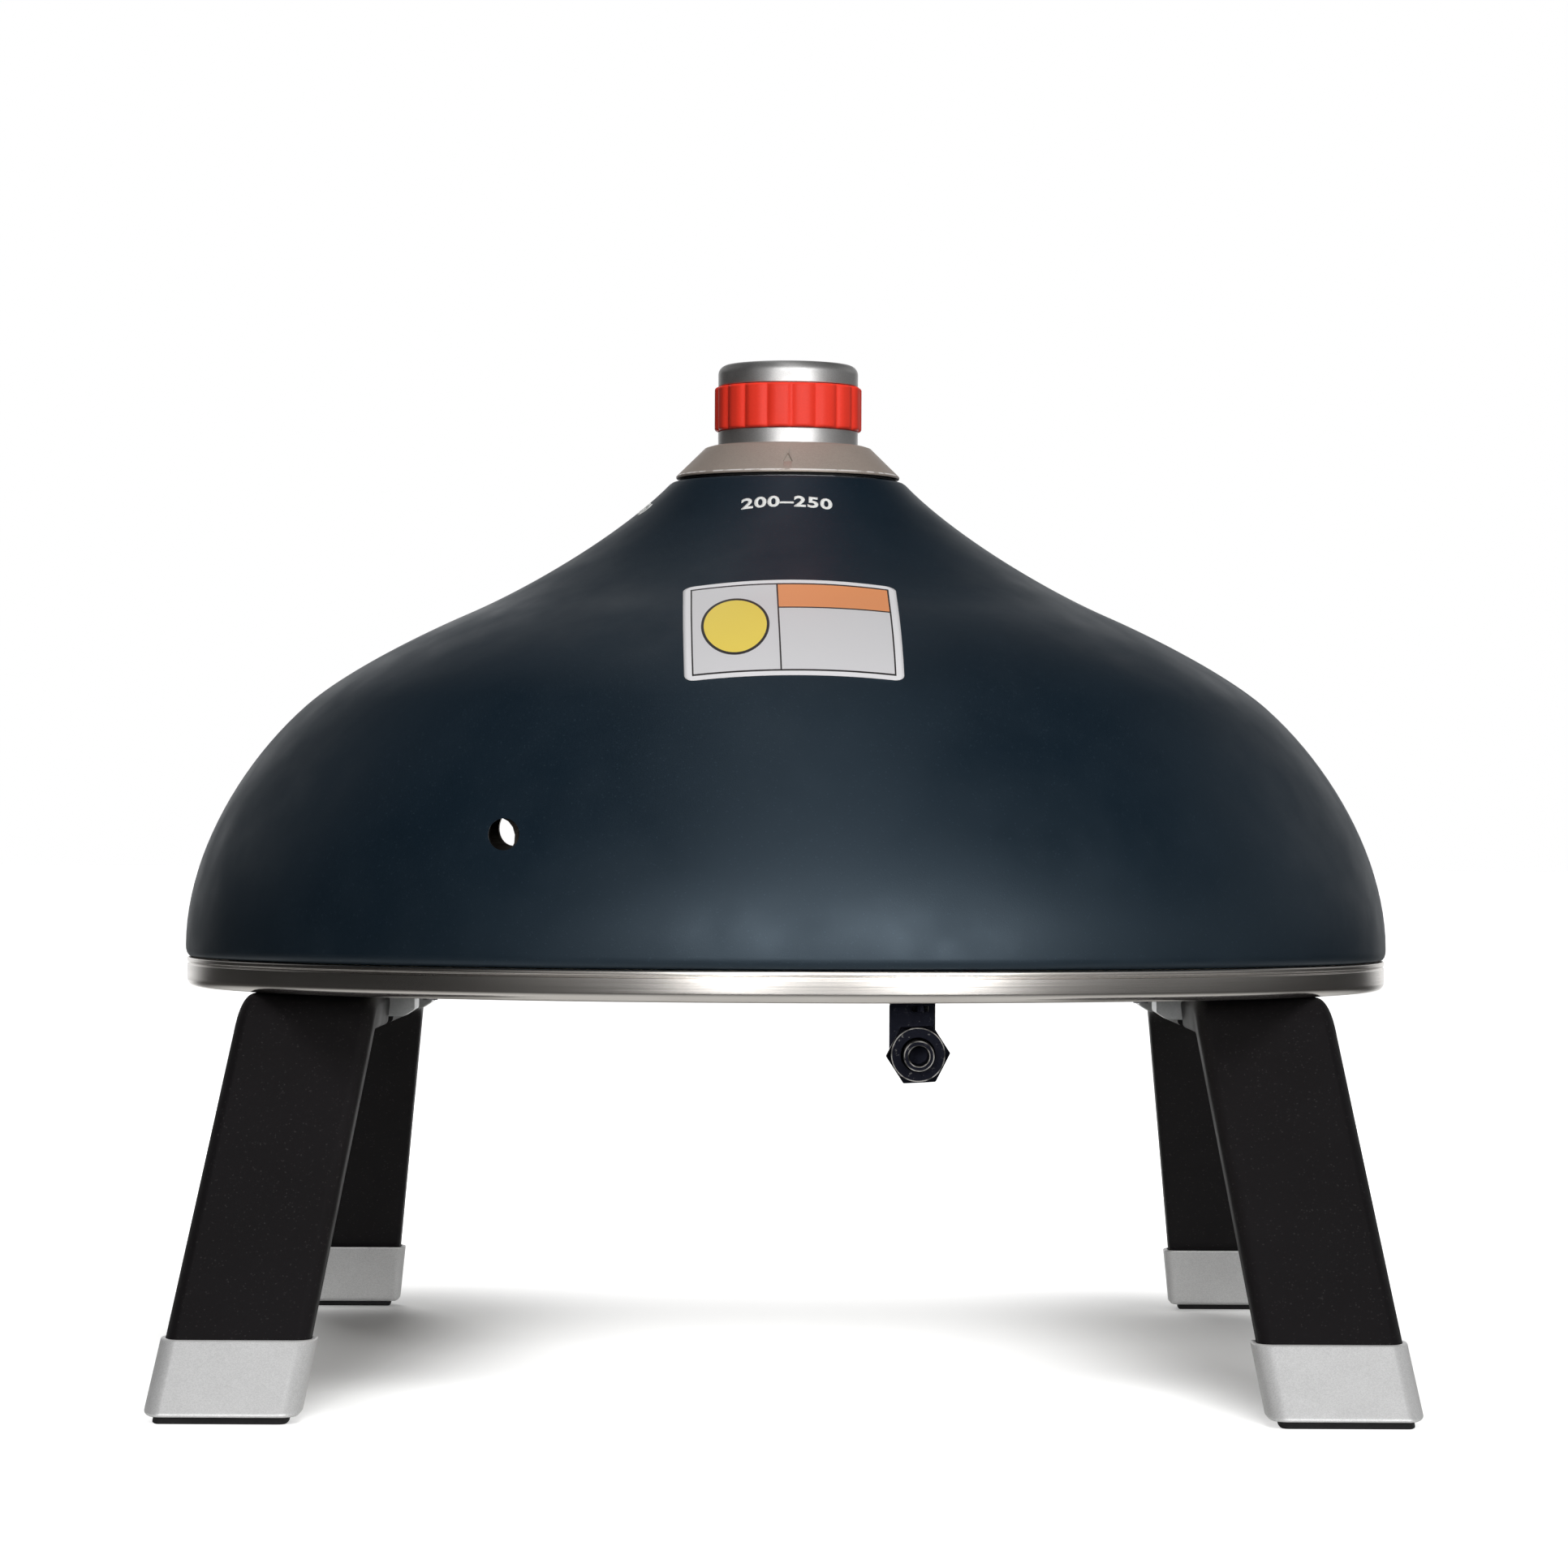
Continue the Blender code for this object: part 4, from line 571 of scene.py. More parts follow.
def rounded(corners, steps=5):
    """Points along a path of (x, y, radius) corners, each replaced by an arc of its radius.

    The arc touches both sides: its centre lies on the corner's bisector, radius / sin(half the angle) away.
    """
    points = []
    count = len(corners)
    for i, (x, y, radius) in enumerate(corners):
        here = np.array((x, y))
        if radius == 0:
            points.append(here)
            continue
        before = np.array(corners[i - 1][:2]) - here
        after = np.array(corners[(i + 1) % count][:2]) - here
        before /= np.linalg.norm(before)
        after /= np.linalg.norm(after)
        half = math.acos(np.clip(before @ after, -1, 1)) / 2
        bisector = (before + after) / np.linalg.norm(before + after)
        centre = here + bisector * radius / math.sin(half)
        reach = radius / math.tan(half)
        start = np.arctan2(*(here + before * reach - centre)[::-1])
        end = np.arctan2(*(here + after * reach - centre)[::-1])
        turn = (end - start + math.pi) % math.tau - math.pi
        angle = start + turn * np.linspace(0, 1, steps + 1)
        points.extend(centre + radius * np.stack((np.cos(angle), np.sin(angle)), axis=-1))
    return np.array(points)


def inset(line, distance):
    """A line moved by a distance to the right of its run, square to itself."""
    run = np.gradient(line, axis=0)
    run /= np.linalg.norm(run, axis=1, keepdims=True)
    return line + distance * np.stack((run[:, 1], -run[:, 0]), axis=-1)


def bezier(start, leave, arrive, end, count):
    """Points on the cubic curve with those ends and handles."""
    t = np.linspace(0, 1, count)[:, None]
    start, leave, arrive, end = map(np.array, (start, leave, arrive, end))
    rest = 1 - t
    return rest ** 3 * start + 3 * rest ** 2 * t * leave + 3 * rest * t ** 2 * arrive + t ** 3 * end


def dome_line(count=22):
    """The dome's outer profile, from the neck's edge down to the widest ring, as three joined curves."""
    neck = bezier(NECK, (0.0528, 0.4114), (0.0542, 0.4112), DOME_KNOTS[0], 4)[:-1]
    parts = [bezier(*DOME_KNOTS[i:i + 4], count)[:-1] for i in (0, 3, 6)]
    return np.vstack((neck, *parts, DOME_KNOTS[-1]))


def dome_radius(height, depth=0.0):
    """The radius, at a height, of the dome's outer face moved inwards by a depth."""
    line = inset(dome_line(), depth)[::-1]
    return np.interp(height, line[:, 1], line[:, 0])


def solid(name, rings, sharp=35):
    """A closed form through rings of points; the first and last rings are filled."""
    return surface(name, np.asarray(rings), sharp=sharp)


def bar(start, end, radius, sides=48, name="bar"):
    """A round bar from start to end."""
    start, end = Vector(start), Vector(end)
    turn = Vector((0, 0, 1)).rotation_difference(end - start).to_matrix()
    angle = full_turn(sides)
    ring = np.stack((radius * np.cos(angle), radius * np.sin(angle), np.zeros(sides)), axis=-1)
    ring = ring @ np.array(turn).T
    return solid(name, (ring + np.array(start), ring + np.array(end)))


def extruded(name, outline, low, high, edge=0.0, axis="y", steps=3, sharp=35):
    """An outline carried along an axis from low to high, with its end edges rounded.

    The rings near an end lie edge (1 - cos a) from it and edge (1 - sin a) inside the outline, for angles a.
    """
    outline = np.asarray(outline)
    run = np.roll(outline, -1, axis=0) - np.roll(outline, 1, axis=0)
    side = np.stack((run[:, 1], -run[:, 0]), axis=-1)
    side /= np.maximum(np.linalg.norm(side, axis=1, keepdims=True), 1e-12)
    area = np.sum(outline[:, 0] * np.roll(outline[:, 1], -1) - outline[:, 1] * np.roll(outline[:, 0], -1))
    side *= -np.sign(area)
    angle = np.linspace(0, math.pi / 2, steps + 1) if edge else np.array([math.pi / 2])
    depth = edge * (1 - np.sin(angle))
    level = edge * (1 - np.cos(angle))
    places = np.concatenate((low + level, high - level[::-1]))
    insets = np.concatenate((depth, depth[::-1]))
    flat = outline[None] + insets[:, None, None] * side[None]
    along = np.repeat(places[:, None], len(outline), axis=1)
    order = {"x": (2, 0, 1), "y": (0, 2, 1), "z": (0, 1, 2)}[axis]
    grid = np.dstack((flat[..., 0], flat[..., 1], along))[..., list(order)]
    return solid(name, grid, sharp)


def evaluated(piece):
    """Replace a piece's mesh by what its modifiers make of it."""
    depsgraph = bpy.context.evaluated_depsgraph_get()
    mesh = bpy.data.meshes.new_from_object(piece.evaluated_get(depsgraph))
    piece.modifiers.clear()
    piece.data = mesh
    return piece


def carve(piece, *cutters, operation="DIFFERENCE", sharp=35):
    """Take cutters out of a piece, or join them to it, and shade it again."""
    for cutter in cutters:
        step = piece.modifiers.new("carve", "BOOLEAN")
        step.operation = operation
        step.solver = "EXACT"
        step.object = cutter
    name = piece.name
    mesh = evaluated(piece).data
    bpy.data.objects.remove(piece)
    for cutter in cutters:
        bpy.data.objects.remove(cutter)
    carved = settle(name, mesh, sharp)
    carved.name = name
    return carved


def dress(piece, body, finish, slot, *nodes):
    """Give a piece its finish and body, and hide the nodes that it stands for."""
    piece.data.materials.clear()
    piece.data.materials.append(finish)
    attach(piece, body)
    if nodes:
        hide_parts(*nodes)
    return piece


def mouth_path(grow, bottom, sides=8, arch=72):
    """The mouth's outline from its right foot over the arch to its left foot, and its outward normals."""
    angle = np.linspace(0, math.pi, arch)
    curve = np.stack((MOUTH_HALF * np.cos(angle), MOUTH_SPRING + MOUTH_RISE * np.sin(angle)), axis=-1)
    normal = np.stack((MOUTH_RISE * np.cos(angle), MOUTH_HALF * np.sin(angle)), axis=-1)
    normal /= np.linalg.norm(normal, axis=1, keepdims=True)
    level = np.linspace(bottom, MOUTH_SPRING, sides, endpoint=False)
    right = np.stack((np.full(sides, MOUTH_HALF), level), axis=-1)
    left = right[::-1] * (-1, 1)
    path = np.vstack((right, curve, left))
    outward = np.vstack((np.tile((1.0, 0.0), (sides, 1)), normal, np.tile((-1.0, 0.0), (sides, 1))))
    return path + grow * outward, outward


def mouth_cutter(grow):
    """The block that opens the mouth through the front wall."""
    path, _ = mouth_path(grow, DOME_BOTTOM - 0.01)
    return extruded("mouth_cutter", path, 0.12, 0.32)


def make_shell(coat):
    """The spun dome, cut open for the mouth and bored for the sight hole."""
    outer = np.vstack((dome_line(), DOME_TUCK))
    inner = inset(dome_line(), DOME_WALL)
    inner[-1] = (DOME_RADIUS - DOME_WALL, DOME_KNOTS[-1][1])
    foot = (DOME_TUCK[-1][0] - DOME_WALL, DOME_BOTTOM)
    shell = turned("dome_skin", np.vstack((outer, foot, inner[::-1])))
    x, z, radius = SIGHT_PUNCH
    punch = bar((x, -0.29, z), (x, -0.20, z), radius, 64)
    shell = carve(evaluated(shell), mouth_cutter(MOUTH_CUT), punch)
    return dress(shell, "oven", coat, "powder_coat", "dome_shell")


def liner_line(extra=0.0):
    """The liner's outer profile, crown to foot, moved outwards by an extra distance."""
    side = inset(dome_line(), LINER_OFFSET - extra)
    side[:, 0] = np.minimum(side[:, 0], DOME_RADIUS - LINER_OFFSET + extra)
    side = side[(side[:, 0] >= LINER_SHOULDER) & (side[:, 1] > HEARTH_TOP + 0.001)]
    flat = np.array((LINER_FLAT, LINER_CROWN + extra))
    run = side[0] - side[1]
    reach = np.linalg.norm(side[0] - flat) / 3
    bend = bezier(flat, flat + (reach, 0), side[0] + run / np.linalg.norm(run) * reach, side[0], 16)
    return np.vstack((bend[:-1], side, (DOME_RADIUS - LINER_OFFSET + extra, HEARTH_TOP + SEAT_GAP)))


def make_liner(steel):
    """The inner dome, with the burner's hole in its crown."""
    outer = np.vstack(((LINER_HOLE, LINER_CROWN), liner_line()))
    inner = np.vstack(((LINER_HOLE, LINER_CROWN - LINER_WALL), liner_line(-LINER_WALL)))
    liner = turned("liner_skin", np.vstack((outer, inner[::-1])), 192)
    liner = carve(evaluated(liner), mouth_cutter(MOUTH_CUT), bar(SIGHT_START, SIGHT_END, SIGHT_RADIUS, 64))
    return dress(liner, "oven", steel, "liner_steel", "dome_liner")


def make_mouth_trim(metal):
    """The trim round the mouth: a strip through both walls with a flange that lies on the dome.

    Each section point is (distance out from the arch, depth below the dome's face), and its y comes from the
    dome: y = sqrt(radius at that height and depth squared - x squared).
    """
    section = (
        (0.0, 0.0218), (0.0, -0.0030), (0.0002, -0.0036), (0.0008, -0.0040), (0.0020, -0.0040),
        (0.0026, -0.0037), (0.0029, -0.0031), (0.0030, -0.0020), (0.0033, -0.0014), (0.0040, -0.0012),
        (0.0085, -0.0012), (0.0092, -0.0010), (0.0095, -0.0006), (0.0095, -0.0002), (0.0030, -0.0002),
        (0.0030, 0.0218),
    )
    path, outward = mouth_path(0.0, HEARTH_TOP + SEAT_GAP)
    rings = []
    for out, depth in section:
        x = path[:, 0] + out * outward[:, 0]
        z = path[:, 1] + out * outward[:, 1]
        radius = dome_radius(z, depth)
        rings.append(np.stack((x, np.sqrt(radius ** 2 - x ** 2), z), axis=-1))
    trim = solid("mouth_trim", np.stack(rings, axis=1))
    return dress(trim, "oven", metal, "black_metal", "mouth_frame")


def make_pan(steel):
    """The base pan: floor, rolled lip, shallow groove, upright band and rounded lower corner."""
    corners = (
        (0.2763, PAN_FLOOR, 0.0), (0.2778, 0.1780, 0.0), (0.2778, 0.1885, 0.0003),
        (PAN_RADIUS, 0.1885, 0.0008), (PAN_RADIUS, 0.1866, 0.0004), (0.2788, 0.1861, 0.0003),
        (0.2788, 0.1856, 0.0003),
        (PAN_RADIUS, 0.1851, 0.0004), (PAN_RADIUS, PAN_BOTTOM, 0.0040), (0.2740, PAN_BOTTOM, 0.0),
    )
    profile = np.vstack(((0.0, PAN_FLOOR), rounded(corners), (0.0, PAN_BOTTOM)))
    pan = turned("rim_pan", profile, closed=False, sharp=50)
    return dress(pan, "oven", steel, "brushed_steel", "base_pan")


def make_collar(paint):
    """The dial's collar, with an engraved pointer on the side that the camera sees."""
    corners = (
        (COLLAR_BORE, COLLAR_BOTTOM, 0.0002), (COLLAR_BORE, COLLAR_TOP, 0.0004),
        (0.0360, COLLAR_TOP, 0.0010), (0.0389, 0.4272, 0.0010),
        (COLLAR_FOOT, 0.4140, 0.0005), (COLLAR_FOOT, COLLAR_BOTTOM, 0.0004),
    )
    collar = evaluated(turned("collar", rounded(corners)))
    middle = np.array((0.0, -0.0463, 0.4202))
    up = np.array((0.0, 0.702, 0.712))
    out = np.array((0.0, -0.712, 0.702))
    outline = rounded(((-0.0024, -0.0030, 0.0004), (0.0024, -0.0030, 0.0004), (0.0, 0.0036, 0.0003)))
    flat = middle + outline[:, :1] * np.array((1.0, 0, 0)) + outline[:, 1:] * up
    pointer = solid("pointer_cutter", (flat - 0.0011 * out, flat + 0.004 * out))
    return dress(carve(collar, pointer), "oven", paint, "taupe_paint", "dial_collar")


def make_gasket(rubber):
    """The black ring between the collar and the neck."""
    low, high = 0.4120, 0.4126
    corners = ((0.040, low, 0.0), (0.040, high, 0.0), (0.0506, high, 0.0002), (0.0506, low, 0.0002))
    return dress(turned("gasket", rounded(corners)), "oven", rubber, "rubber", "neck_gasket")


def make_dial(paint, plastic):
    """The dial: a cap with a crowned top, a groove and a hub, and the fluted ring in the groove."""
    angle = np.linspace(math.pi / 2, 0, 14)
    shoulder = np.stack((DIAL_BORE + 0.0045 * np.cos(angle), 0.4619 + 0.0044 * np.sin(angle)), axis=-1)
    crown = np.array(((0.0, DIAL_TOP), (0.008, 0.46695), (0.016, 0.4668), (0.024, 0.46652)))
    ledge, step, roof = 0.4562, 0.4350, 0.4645
    corners = (
        (DIAL_RADIUS, 0.4617, 0), (DIAL_RADIUS, ledge, 0.0003), (GROOVE_RADIUS, ledge, 0),
        (GROOVE_RADIUS, step, 0), (DIAL_RADIUS, step, 0.0003),
        (DIAL_RADIUS, DIAL_SKIRT, 0.0005), (DIAL_BORE, DIAL_SKIRT, 0.0003),
        (DIAL_BORE, 0.4595, 0.002), (0.0235, roof, 0.001), (HUB_RADIUS, roof, 0.0008),
        (HUB_RADIUS, HUB_BOTTOM, 0.0003), (HUB_BORE, HUB_BOTTOM, 0.0002), (HUB_BORE, roof, 0.0),
    )
    profile = np.vstack((crown, shoulder, rounded(corners), (0.0, roof)))
    cap = turned("dial_top", profile, 192, closed=False)
    dress(cap, "dial", paint, "silver_paint", "dial_cap")

    bore = GROOVE_RADIUS + SEAT_GAP
    corners = (
        (bore, GRIP_TOP, 0.0002), (GRIP_RADIUS, GRIP_TOP, 0.0014),
        (GRIP_RADIUS, GRIP_BOTTOM, 0.0014), (bore, GRIP_BOTTOM, 0.0002),
    )
    profile = rounded(corners)
    angle = full_turn(FLUTES * 24)
    wave = np.sin((angle - FLUTE_PHASE) * FLUTES / 2)
    hollow = np.maximum(1.0 - np.sqrt(wave ** 2 + 0.01), 0.0) ** 1.7
    share = np.clip((profile[:, 0] - FLUTE_ROOT) / (GRIP_RADIUS - FLUTE_ROOT), 0, 1)
    radius = profile[:, :1] - FLUTE_DEPTH * share[:, None] * hollow
    height = np.tile(profile[:, 1:], len(angle))
    grid = np.stack((radius * np.sin(angle), -radius * np.cos(angle), height), axis=-1)
    grip = surface("grip_ring", grid, along=True, sharp=50)
    dress(grip, "dial", plastic, "red_plastic", "dial_grip")


def leg_section(grow=0.0, fine=7):
    """The leg's section as (across, through) points, with a quarter ellipse at its far outer corner."""
    wide, deep = LEG_WIDTH + grow, LEG_THICKNESS + grow
    outer, inner = OUTER_CORNER + grow, max(INNER_CORNER + grow, LEAST_CORNER)
    a, b = SIDE_CORNER[0] + grow, SIDE_CORNER[1] + grow
    angle = np.linspace(0, math.pi / 2, fine + 5)
    side = [(wide - a + a * math.cos(t), deep - b + b * math.sin(t), 0) for t in angle]
    return rounded([(-grow, -grow, inner), (wide, -grow, inner), *side, (-grow, deep, outer)], fine)


def leg_ring(inner, outer, section, side):
    """A ring of points round the leg between its inner and outer (y, z) lines.

    It leans out by LEG_LEAN for each metre down, and by a further LEG_SWELL exp(-drop / 0.05) near the top.
    """
    share = section[:, 1:] / LEG_THICKNESS
    place = np.array(inner) + (np.array(outer) - np.array(inner)) * share
    drop = LEG_TOP - place[:, 1]
    x = LEG_INNER_X + section[:, 0] + LEG_LEAN * drop + LEG_SWELL * np.exp(-drop / 0.05)
    return np.stack((side * x, place[:, 0], place[:, 1]), axis=-1)


def leg_centre(level):
    """How far a leg's centre line lies from the middle at a level."""
    return LEG_FOOT_Y - level * math.tan(LEG_SPLAY)


def foot_ring(level, grow, side, end, fine=7):
    """A level ring round one leg."""
    half = LEG_THICKNESS / 2 / math.cos(LEG_SPLAY)
    middle = leg_centre(level)
    inner, outer = (end * (middle - half), level), (end * (middle + half), level)
    return leg_ring(inner, outer, leg_section(grow, fine), side)


def make_leg_frame(side, name, soft):
    """A leg frame: a bar with rounded edges bent at both ends, notched for its two hinge brackets."""
    outer_bend = LEG_BEND + LEG_THICKNESS
    middle_bend = LEG_BEND + LEG_THICKNESS / 2
    centre_z = LEG_TOP - outer_bend
    centre_y = leg_centre(centre_z + middle_bend * math.sin(LEG_SPLAY)) - middle_bend * math.cos(LEG_SPLAY)
    angle = np.linspace(LEG_SPLAY, math.pi / 2, 18)
    arc = np.stack((np.cos(angle), np.sin(angle)), axis=-1)
    centre = np.array((centre_y, centre_z))
    half = LEG_THICKNESS / 2 / math.cos(LEG_SPLAY)
    foot = leg_centre(LEG_END)
    inner = np.vstack(((foot - half, LEG_END), centre + LEG_BEND * arc))
    outer = np.vstack(((foot + half, LEG_END), centre + outer_bend * arc))
    inner = np.vstack((inner, inner[::-1] * (-1, 1)))
    outer = np.vstack((outer, outer[::-1] * (-1, 1)))
    section = leg_section()
    rings = [leg_ring(i, o, section, side) for i, o in zip(inner, outer)]
    leg = evaluated(solid(f"leg_bar_{name}", rings, 50))
    notches = []
    for end in (-1, 1):
        x = np.array((HINGE_X - 0.0145, HINGE_X + 0.0078)) * side
        y = end * BRACKET_Y + np.array((-1, 1)) * (BRACKET_HALF + 0.0006)
        outline = [(x[0], y[0]), (x[1], y[0]), (x[1], y[1]), (x[0], y[1])]
        notches.append(extruded("notch_cutter", outline, LEG_TOP - 0.03, LEG_TOP + 0.01, axis="z"))
    leg = carve(leg, *notches, sharp=50)
    dress(leg, f"{name}_legs", soft, "soft_black_legs", f"leg_frame_{name}")


def make_foot(side, name, end, place, silver, rubber):
    """A foot cap with a rounded lower edge and a thin lip at its socket, and the pad under it."""
    angle = np.linspace(0, math.pi / 2, 7)
    foot, lip = 0.0022, 0.0008
    lower = [(CAP_BOTTOM + foot * (1 - math.cos(a)), CAP_WALL - foot * (1 - math.sin(a))) for a in angle]
    upper = [(CAP_TOP - lip * (1 - math.sin(a)), CAP_WALL - lip * (1 - math.cos(a))) for a in angle]
    levels = [(CAP_BOTTOM, -0.004)] + lower + upper
    levels += [(CAP_TOP, 0.0004), (CAP_TOP - SEAT_GAP, SEAT_GAP), (LEG_END - SEAT_GAP, SEAT_GAP)]
    rings = [foot_ring(level, grow, side, end) for level, grow in levels]
    cap = solid(f"cap_{name}_{place}", rings, 50)
    dress(cap, f"{name}_legs", silver, "silver_plastic", f"foot_cap_{name}_{place}")
    grow = CAP_WALL - 0.0045
    levels = [(0.0, grow - 0.0006), (0.0003, grow - 0.0001), (0.0008, grow), (PAD_TOP, grow)]
    pad = solid(f"pad_{name}_{place}", [foot_ring(level, g, side, end) for level, g in levels], 50)
    dress(pad, f"{name}_legs", rubber, "rubber", f"foot_pad_{name}_{place}")


def make_hinge(side, name, end, place, steel):
    """A cast hinge bracket: a flange under the base and a lug round the pin, with softened edges."""
    top = LEG_TOP - HINGE_Z
    under = top - 0.0024
    angle = np.linspace(-math.pi / 2, 0, 9)[1:]
    corners = [
        (-0.0255, top, 0.0003), (-0.0255, under, 0.0006), (-0.0145, under, 0.0010),
        (-0.0145, -0.0019, 0.0015), (-0.0094, -LUG_RADIUS, 0.0012), (0.0, -LUG_RADIUS, 0.0),
        *((LUG_RADIUS * math.cos(a), LUG_RADIUS * math.sin(a), 0.0) for a in angle),
        (LUG_RADIUS, top, 0.0003),
    ]
    outline = rounded(corners, 4) * (side, 1) + (side * HINGE_X, HINGE_Z)
    middle = end * BRACKET_Y
    lug = extruded(f"hinge_{name}_{place}", outline, middle - BRACKET_HALF, middle + BRACKET_HALF, 0.0004)
    x = side * HINGE_X
    bore = bar((x, middle - 0.02, HINGE_Z), (x, middle + 0.02, HINGE_Z), PIN_BORE)
    hole = (side * (HINGE_X - 0.0205), middle)
    screw_hole = bar((*hole, HINGE_Z), (*hole, LEG_TOP + 0.002), SCREW_HOLE)
    lug = carve(evaluated(lug), bore, screw_hole)
    dress(lug, "oven", steel, "bracket_steel", f"hinge_bracket_{name}_{place}")


def about_inlet(radius, depth, steps=96):
    """A grid of points round the inlet's axis, with a row at each depth along Y."""
    angle = full_turn(steps)
    across = np.repeat(depth[:, None], steps, axis=1)
    return np.stack((INLET_X + radius * np.cos(angle), across, INLET_Z + radius * np.sin(angle)), axis=-1)


def make_inlet_plate(black):
    """The plate that carries the gas inlet, with its foot under the pan."""
    left, right = INLET_X - 0.0123, INLET_X + 0.0070
    low = INLET_Z - 0.0098
    outline = rounded((
        (left, INLET_Z - 0.001, 0.002), (left + 0.0048, low, 0.004), (right - 0.0008, low, 0.004),
        (right, INLET_Z - 0.003, 0.002), (right, LEG_TOP, 0.0), (left, LEG_TOP, 0.0),
    ))
    plate = extruded("plate", outline, INLET_PLATE, INLET_PLATE + 0.002, 0.0003)
    near, far = INLET_PLATE - 0.017, INLET_PLATE + 0.001
    outline = ((left, near), (right, near), (right, far), (left, far))
    foot = extruded("foot", outline, LEG_TOP - 0.002, LEG_TOP, axis="z")
    plate = carve(evaluated(plate), foot, operation="UNION")
    hole = bar((INLET_X, INLET_PLATE - 0.003, INLET_Z), (INLET_X, INLET_PLATE + 0.005, INLET_Z), TAIL_HOLE)
    screw = (INLET_X, INLET_PLATE - 0.009)
    screw_hole = bar((*screw, LEG_TOP - 0.004), (*screw, LEG_TOP + 0.002), SCREW_HOLE)
    plate = carve(evaluated(plate), hole, screw_hole)
    plate.name = "inlet_plate"
    dress(plate, "oven", black, "black_metal", "inlet_bracket")


def make_nut(black):
    """The hexagonal lock nut: each ring's radius is the smaller of a circle's and the hexagon's."""
    steps = 6 * 24
    sixth = math.tau / 6
    hexagon = NUT_FLATS / 2 / np.cos((full_turn(steps) - math.radians(3)) % sixth - sixth / 2)
    share = np.linspace(0, 1, 8)
    rows = [(TAIL_HOLE, -0.2070), (TAIL_HOLE, NUT_BACK + 0.0006), (0.0075, NUT_BACK), (0.0112, NUT_BACK)]
    rows += [(0.0114 + t * 0.0027, NUT_BACK + 0.0002 + t * 0.0014) for t in share]
    rows += [(0.0141 - t * 0.0022, -0.2083 + t * 0.0013) for t in share]
    rows = np.array(rows)
    grid = about_inlet(np.minimum(rows[:, :1], hexagon), rows[:, 1], steps)
    dress(surface("hex_nut", grid, along=True, sharp=25), "oven", black, "black_metal", "lock_nut")


def make_elbow(black):
    """The elbow: a threaded tail with a seat in its mouth, a hexagonal shoulder and an upright."""
    depth = np.linspace(TAIL_END + 0.0012, INLET_PLATE - 0.0003, 200)
    turn = (depth[:, None] / THREAD_PITCH + full_turn(96) / math.tau) % 1
    fade = np.clip((depth[:, None] - TAIL_END - 0.0012) / 0.0015, 0, 1)
    thread = TAIL_RADIUS - THREAD_DEPTH * fade * (1 - np.abs(2 * turn - 1))
    mouth = np.array((
        (0.0042, -0.1960), (0.0042, TAIL_END + 0.0012), (0.0045, TAIL_END + 0.0004),
        (0.0049, TAIL_END), (0.0061, TAIL_END), (0.0065, TAIL_END + 0.0004),
    ))
    back = np.array(((TAIL_RADIUS, INLET_PLATE + 0.0023), (TAIL_RADIUS, ELBOW_Y)))
    rows = [about_inlet(line[:, :1], line[:, 1]) for line in (mouth, back)]
    grid = np.vstack((rows[0], about_inlet(thread, depth), rows[1]))
    elbow = evaluated(surface("elbow_tail", grid, sharp=40))
    corner = 0.0095
    angle = full_turn(6)
    hexagon = np.stack((INLET_X + corner * np.cos(angle), INLET_Z + corner * np.sin(angle)), axis=-1)
    shoulder = extruded("shoulder", hexagon, INLET_PLATE + 0.0023, INLET_PLATE + 0.0073, 0.0003)
    place = (INLET_X, ELBOW_Y)
    upright = bar((*place, INLET_Z - 0.0080), (*place, 0.1735), 0.0080)
    elbow = carve(elbow, shoulder, upright, operation="UNION", sharp=30)
    elbow = carve(evaluated(elbow), bar((*place, INLET_Z), (*place, 0.1760), 0.0033), sharp=30)
    elbow.name = "gas_elbow"
    dress(elbow, "oven", black, "black_metal", "inlet_elbow")


def make_spring(steel):
    """The tap's return spring.

    The wire's middle line is x = r cos(a), y = r sin(a), and z rises evenly with the angle a. Each ring of
    the wire is middle + w (cos(b) out + sin(b) up).
    """
    low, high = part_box("return_spring")
    radius, wire, turns = 0.0062, 0.0006, 3.5
    angle = np.linspace(0, turns * math.tau, 240)
    level = np.linspace(low.z + wire, high.z - wire, 240)
    out = np.stack((np.cos(angle), np.sin(angle), 0 * angle), axis=-1)[:, None]
    middle = radius * out
    middle[..., 2] = level[:, None]
    around = full_turn(14)[:, None]
    rings = middle + wire * (np.cos(around) * out + np.sin(around) * np.array((0.0, 0.0, 1.0)))
    spring = evaluated(solid("tap_spring", rings))
    spring.data.materials.append(steel)
    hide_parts("return_spring")
    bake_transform(spring)


def make_stone(stone):
    """The baking stone, with a softly broken edge."""
    inner = 0.1
    corners = (
        (inner, STONE_TOP, 0), (STONE_RADIUS, STONE_TOP, 0.0018),
        (STONE_RADIUS, STONE_BOTTOM, 0.0010), (inner, STONE_BOTTOM, 0),
    )
    profile = np.vstack(((0.0, STONE_TOP), rounded(corners), (0.0, STONE_BOTTOM)))
    disc = turned("baking_stone", profile, 192, closed=False)
    dress(disc, "stone", stone, "cordierite", "pizza_stone")


